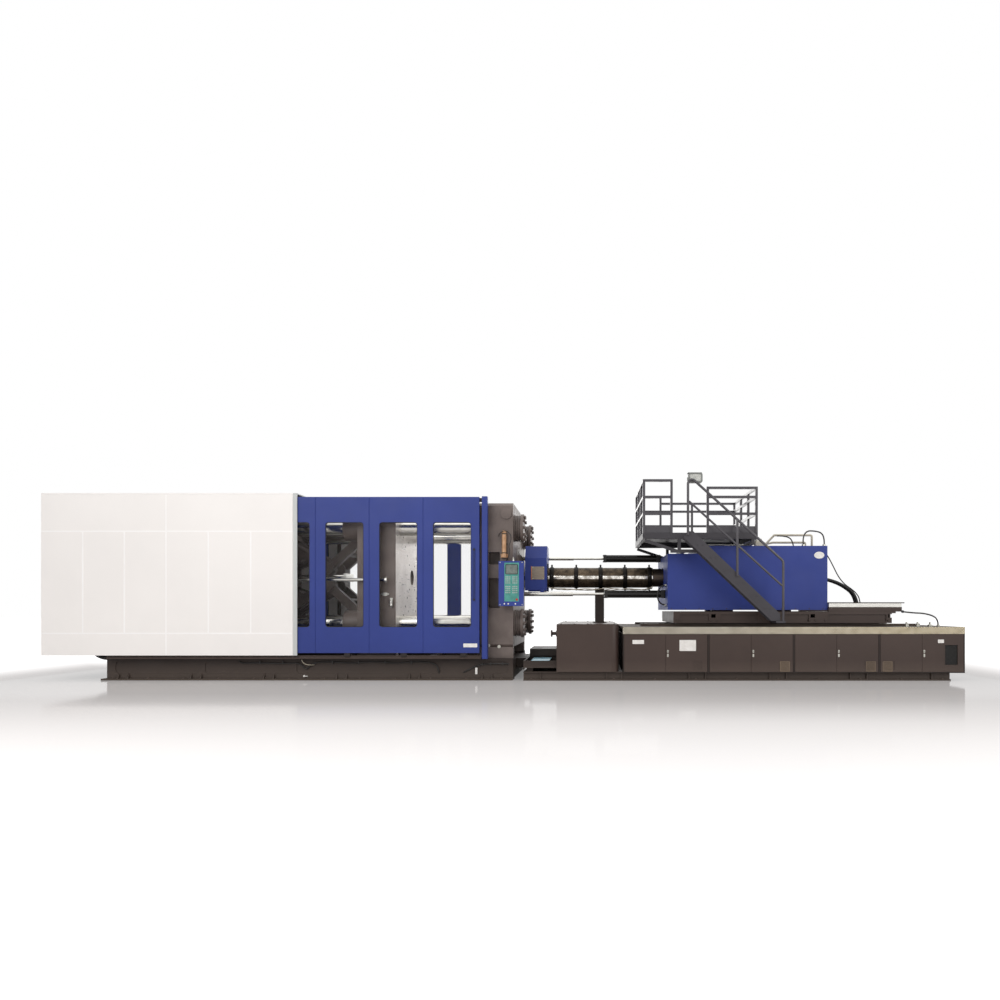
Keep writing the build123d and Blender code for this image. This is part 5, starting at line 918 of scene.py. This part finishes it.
class MACHINE_OT_hood_and_platform(bpy.types.Operator):
    """Blank badge, valve and hose fittings, rails on the sled, lamp glass and the bolts of the hood and platform"""
    bl_idname = "machine.hood_and_platform"
    bl_label = "Dress the hood and platform"

    def execute(self, context):
        badge = (oval_plate, 4.888, 1.921, 0.080, 0.054, HOOD_FRONT - 0.004, HOOD_FRONT)
        piece("blank_oval_badge", "label", "carriage", [badge])
        valves = [(drum, (x, y, 2.17), (0, 0, 1), 0.014, 0.045, 6)
                  for x, y in ((4.045, -0.36), (4.075, -0.32), (4.02, -0.41), (4.02, -0.27))]
        valves += [(drum, (4.105, y, 2.138), (1, 0, 0), 0.026, 0.04, 6) for y in (-0.39, -0.29)]
        valves += [(drum, (x, y, 2.066), (0, 0, 1), 0.028, 0.028, 6)
                   for x, y in ((4.90, -0.39), (4.82, -0.29), (4.655, -0.80), (4.980, -0.80), (4.59, -0.45))]
        piece("valve_fittings", "zinc", "carriage", valves, 0.8)
        unions = []
        for x in (6.19, 6.36, 6.55):
            unions.append((box, x - 0.025, x + 0.025, -1.035, -0.975, 0.809, 0.840))
            unions.append((drum, (x, -1.005, 0.840), (0, 0, 1), 0.016, 0.040, 6))
        unions.append((drum, (6.685, -0.99, 0.811), (0, 0, 1), 0.024, 0.030, 6))
        piece("deck_unions", "zinc", "machine", unions)
        piece("sled_cable_gland", "seal", "carriage", [(drum, (6.145, -0.929, 1.04), (1, 0, 0), 0.020, 0.030, 6)])
        # The rail caps take the base's umber, darkened as painted shade
        for name, finish, x1, z0, z1, over in (("rail_strips", "bright_steel", 6.150, 1.1095, 1.170, 0.0),
                                               ("rail_caps", "base_enamel_painted_shade", 6.195, 1.1695, 1.184, 0.006)):
            rails = [(box, 5.022, x1, y0 - over, y1 + over, z0, z1)
                     for y0, y1 in ((-0.908, -0.832), (0.832, 0.908))]
            piece(name, finish, "carriage", rails, 1.2)
        screws = []
        for side in SIDES:
            screws += [(screw, (x, side * 0.95, 0.905), (0, side, 0), 0.026)
                       for x in (2.67, 3.18, 3.27, 3.95, 4.15, 4.71, 4.80, 4.95, 5.93)]
            screws += [(drum, (2.58 + i * 0.215, side * 0.85, 1.085), (0, side, 0), 0.008, 0.0035, 12)
                       for i in range(12)]
        piece("sled_and_hood_screws", "dark_enamel", "carriage", screws, 0.6)
        lens = (rounded_plate, 2.812, 2.978, 3.005, 3.112, 0.020, -1.2985, -1.2945)
        piece("lamp_lens", "lamp_glass", "carriage", [lens], 1.5)
        fins = [(frame_ring, 2.800, 2.990, 2.995, 3.124, 0.024, 0.014, -1.301, -1.292)]
        fins += [(box, 2.815 + i * 0.025, 2.823 + i * 0.025, -1.186, -1.165, 3.00, 3.12) for i in range(7)]
        piece("lamp_bezel_and_fins", "lamp_grey", "carriage", fins)
        bolts = []
        for step in range(1, 7):
            x, z = 4.19 - 1.42 * step / 7, 0.888 + 1.35 * step / 7
            bolts += [(screw, (x + dx, -1.3065, z), (0, -1, 0), 0.016) for dx in (-0.05, 0.03)]
        piece("stair_bolts", "grey_enamel", "carriage", bolts, 0.5)
        return {"FINISHED"}


class MACHINE_OT_hoses(bpy.types.Operator):
    """The free hoses and leads, each on its own line"""
    bl_idname = "machine.hoses"
    bl_label = "Lay the hoses"

    def execute(self, context):
        for name, body, finish, diameter, length, node, points in HOSES:
            laid = hose(name, points, diameter / 2, finish, body, node)
        return {"FINISHED"}


class MACHINE_OT_sled_cable(bpy.types.Operator):
    """The cable from the sled to the deck"""
    bl_idname = "machine.sled_cable"
    bl_label = "Lay the sled's cable"

    def execute(self, context):
        places = on_line(SLED_CABLE)
        bm = bmesh.new()
        rings = []
        for i, place in enumerate(places):
            ahead = (places[min(i + 1, len(places) - 1)] - places[max(i - 1, 0)]).normalized()
            across = ahead.cross(Vector((0, 1, 0))).normalized()
            up = across.cross(ahead)
            rings.append([bm.verts.new(place + (across * math.cos(a) + up * math.sin(a)) * SLED_CABLE_DIAMETER / 2)
                          for a in round_angles(SLED_CABLE_SIDES)])
        for near, far in zip(rings, rings[1:]):
            for face in wall(bm, near, far):
                face.smooth = True
        bm.faces.new(rings[0])
        bm.faces.new(rings[-1])
        bmesh.ops.recalc_face_normals(bm, faces=bm.faces)
        laid = put_mesh("sled_end_cable", bm)
        laid.data.materials.append(MATERIALS["cable"])
        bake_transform(laid)
        return {"FINISHED"}


class MACHINE_OT_studio(bpy.types.Operator):
    """Pale floor, soft light and the camera at the photograph's place"""
    bl_idname = "machine.studio"
    bl_label = "Set up the studio"

    def execute(self, context):
        scene = context.scene
        look = scene.studio_look
        world = bpy.data.worlds.new("studio_air")
        scene.world = world
        world.use_nodes = True
        tree = world.node_tree
        tree.nodes.clear()
        path = add(tree, "LightPath").outputs
        seen = add(tree, "Math", (path["Is Camera Ray"], path["Is Transmission Ray"]), operation="MAXIMUM")
        seen = add(tree, "Math", (seen, path["Is Glossy Ray"]), operation="MAXIMUM")
        dim = add(tree, "Background", (linear("#FFFFFF"), look.world_level))
        white = add(tree, "Background", (linear("#FFFFFF"), 1.0))
        add(tree, "OutputWorld", (add(tree, "MixShader", (seen, dim, white)),))
        bm = bmesh.new()
        corners = ((-1, -1), (1, -1), (1, 1), (-1, 1))
        bm.faces.new([bm.verts.new((x * FLOOR_HALF, y * FLOOR_HALF, 0)) for x, y in corners])
        floor = put_mesh("studio_floor", bm)
        floor.data.materials.append(studio_floor_lacquer(look.floor_colour[:] + (1.0,)))
        lamps = (("key_softbox", (-4.5, -9.0, 6.5), (-1.5, 0, 1.4), 6.0, look.key_power),
                 ("fill_softbox", (8.5, -8.5, 4.5), (3.0, 0, 1.2), 5.0, look.key_power * 0.6),
                 ("top_softbox", (0.0, 0.5, 8.0), (0.0, 0.0, 0.0), 9.0, look.key_power * 0.6),
                 ("back_softbox", (2.0, 9.0, 5.0), (0.0, 0.0, 1.5), 6.0, look.key_power * 0.5))
        for name, place, aim, size, power in lamps:
            lamp = bpy.data.lights.new(name, "AREA")
            lamp.energy = power
            lamp.size = size
            lamp.color = linear("#FFFDFA")[:3]
            holder = put(name, lamp)
            holder.location = place
            holder.rotation_euler = (Vector(aim) - Vector(place)).to_track_quat("-Z", "Y").to_euler()
        camera = bpy.data.cameras.new("front_camera")
        camera.sensor_width = 36.0
        camera.lens = 28.8
        camera.shift_x = -0.088
        camera.shift_y = 0.109
        camera.clip_end = 300.0
        holder = put("front_camera", camera)
        holder.location = (1.275, -13.35, 1.08)
        holder.rotation_euler = (math.radians(90), 0, 0)
        scene.camera = holder
        scene.view_settings.view_transform = "Standard"
        return {"FINISHED"}


OPERATORS = (MACHINE_OT_finishes, MACHINE_OT_finish_solids, MACHINE_OT_cover_joints, MACHINE_OT_gates,
             MACHINE_OT_platen_fittings, MACHINE_OT_operator_panel, MACHINE_OT_injection_line,
             MACHINE_OT_base_fittings, MACHINE_OT_cabinets, MACHINE_OT_hood_and_platform, MACHINE_OT_hoses,
             MACHINE_OT_sled_cable, MACHINE_OT_studio)


class MACHINE_PT_sidebar(bpy.types.Panel):
    """The machine's operators, colours and sizes, in the 3D view's sidebar"""
    bl_idname = "MACHINE_PT_sidebar"
    bl_label = "Moulding machine"
    bl_space_type = "VIEW_3D"
    bl_region_type = "UI"
    bl_category = "Machine"

    def draw(self, context):
        for group in (context.scene.machine_sizes, context.scene.machine_colours, context.scene.studio_look):
            for key in group.__annotations__:
                self.layout.prop(group, key)
        for operator in OPERATORS:
            self.layout.operator(operator.bl_idname)


CLASSES = (MachineSizes, MachineColours, StudioLook) + OPERATORS + (MACHINE_PT_sidebar,)


def register():
    for item in CLASSES:
        bpy.utils.register_class(item)
    bpy.types.Scene.machine_sizes = bpy.props.PointerProperty(type=MachineSizes)
    bpy.types.Scene.machine_colours = bpy.props.PointerProperty(type=MachineColours)
    bpy.types.Scene.studio_look = bpy.props.PointerProperty(type=StudioLook)


def unregister():
    del bpy.types.Scene.studio_look
    del bpy.types.Scene.machine_colours
    del bpy.types.Scene.machine_sizes
    for item in reversed(CLASSES):
        bpy.utils.unregister_class(item)


def main():
    register()
    for operator in OPERATORS:
        group, name = operator.bl_idname.split(".")
        getattr(getattr(bpy.ops, group), name)()


if __name__ == "__main__":
    main()
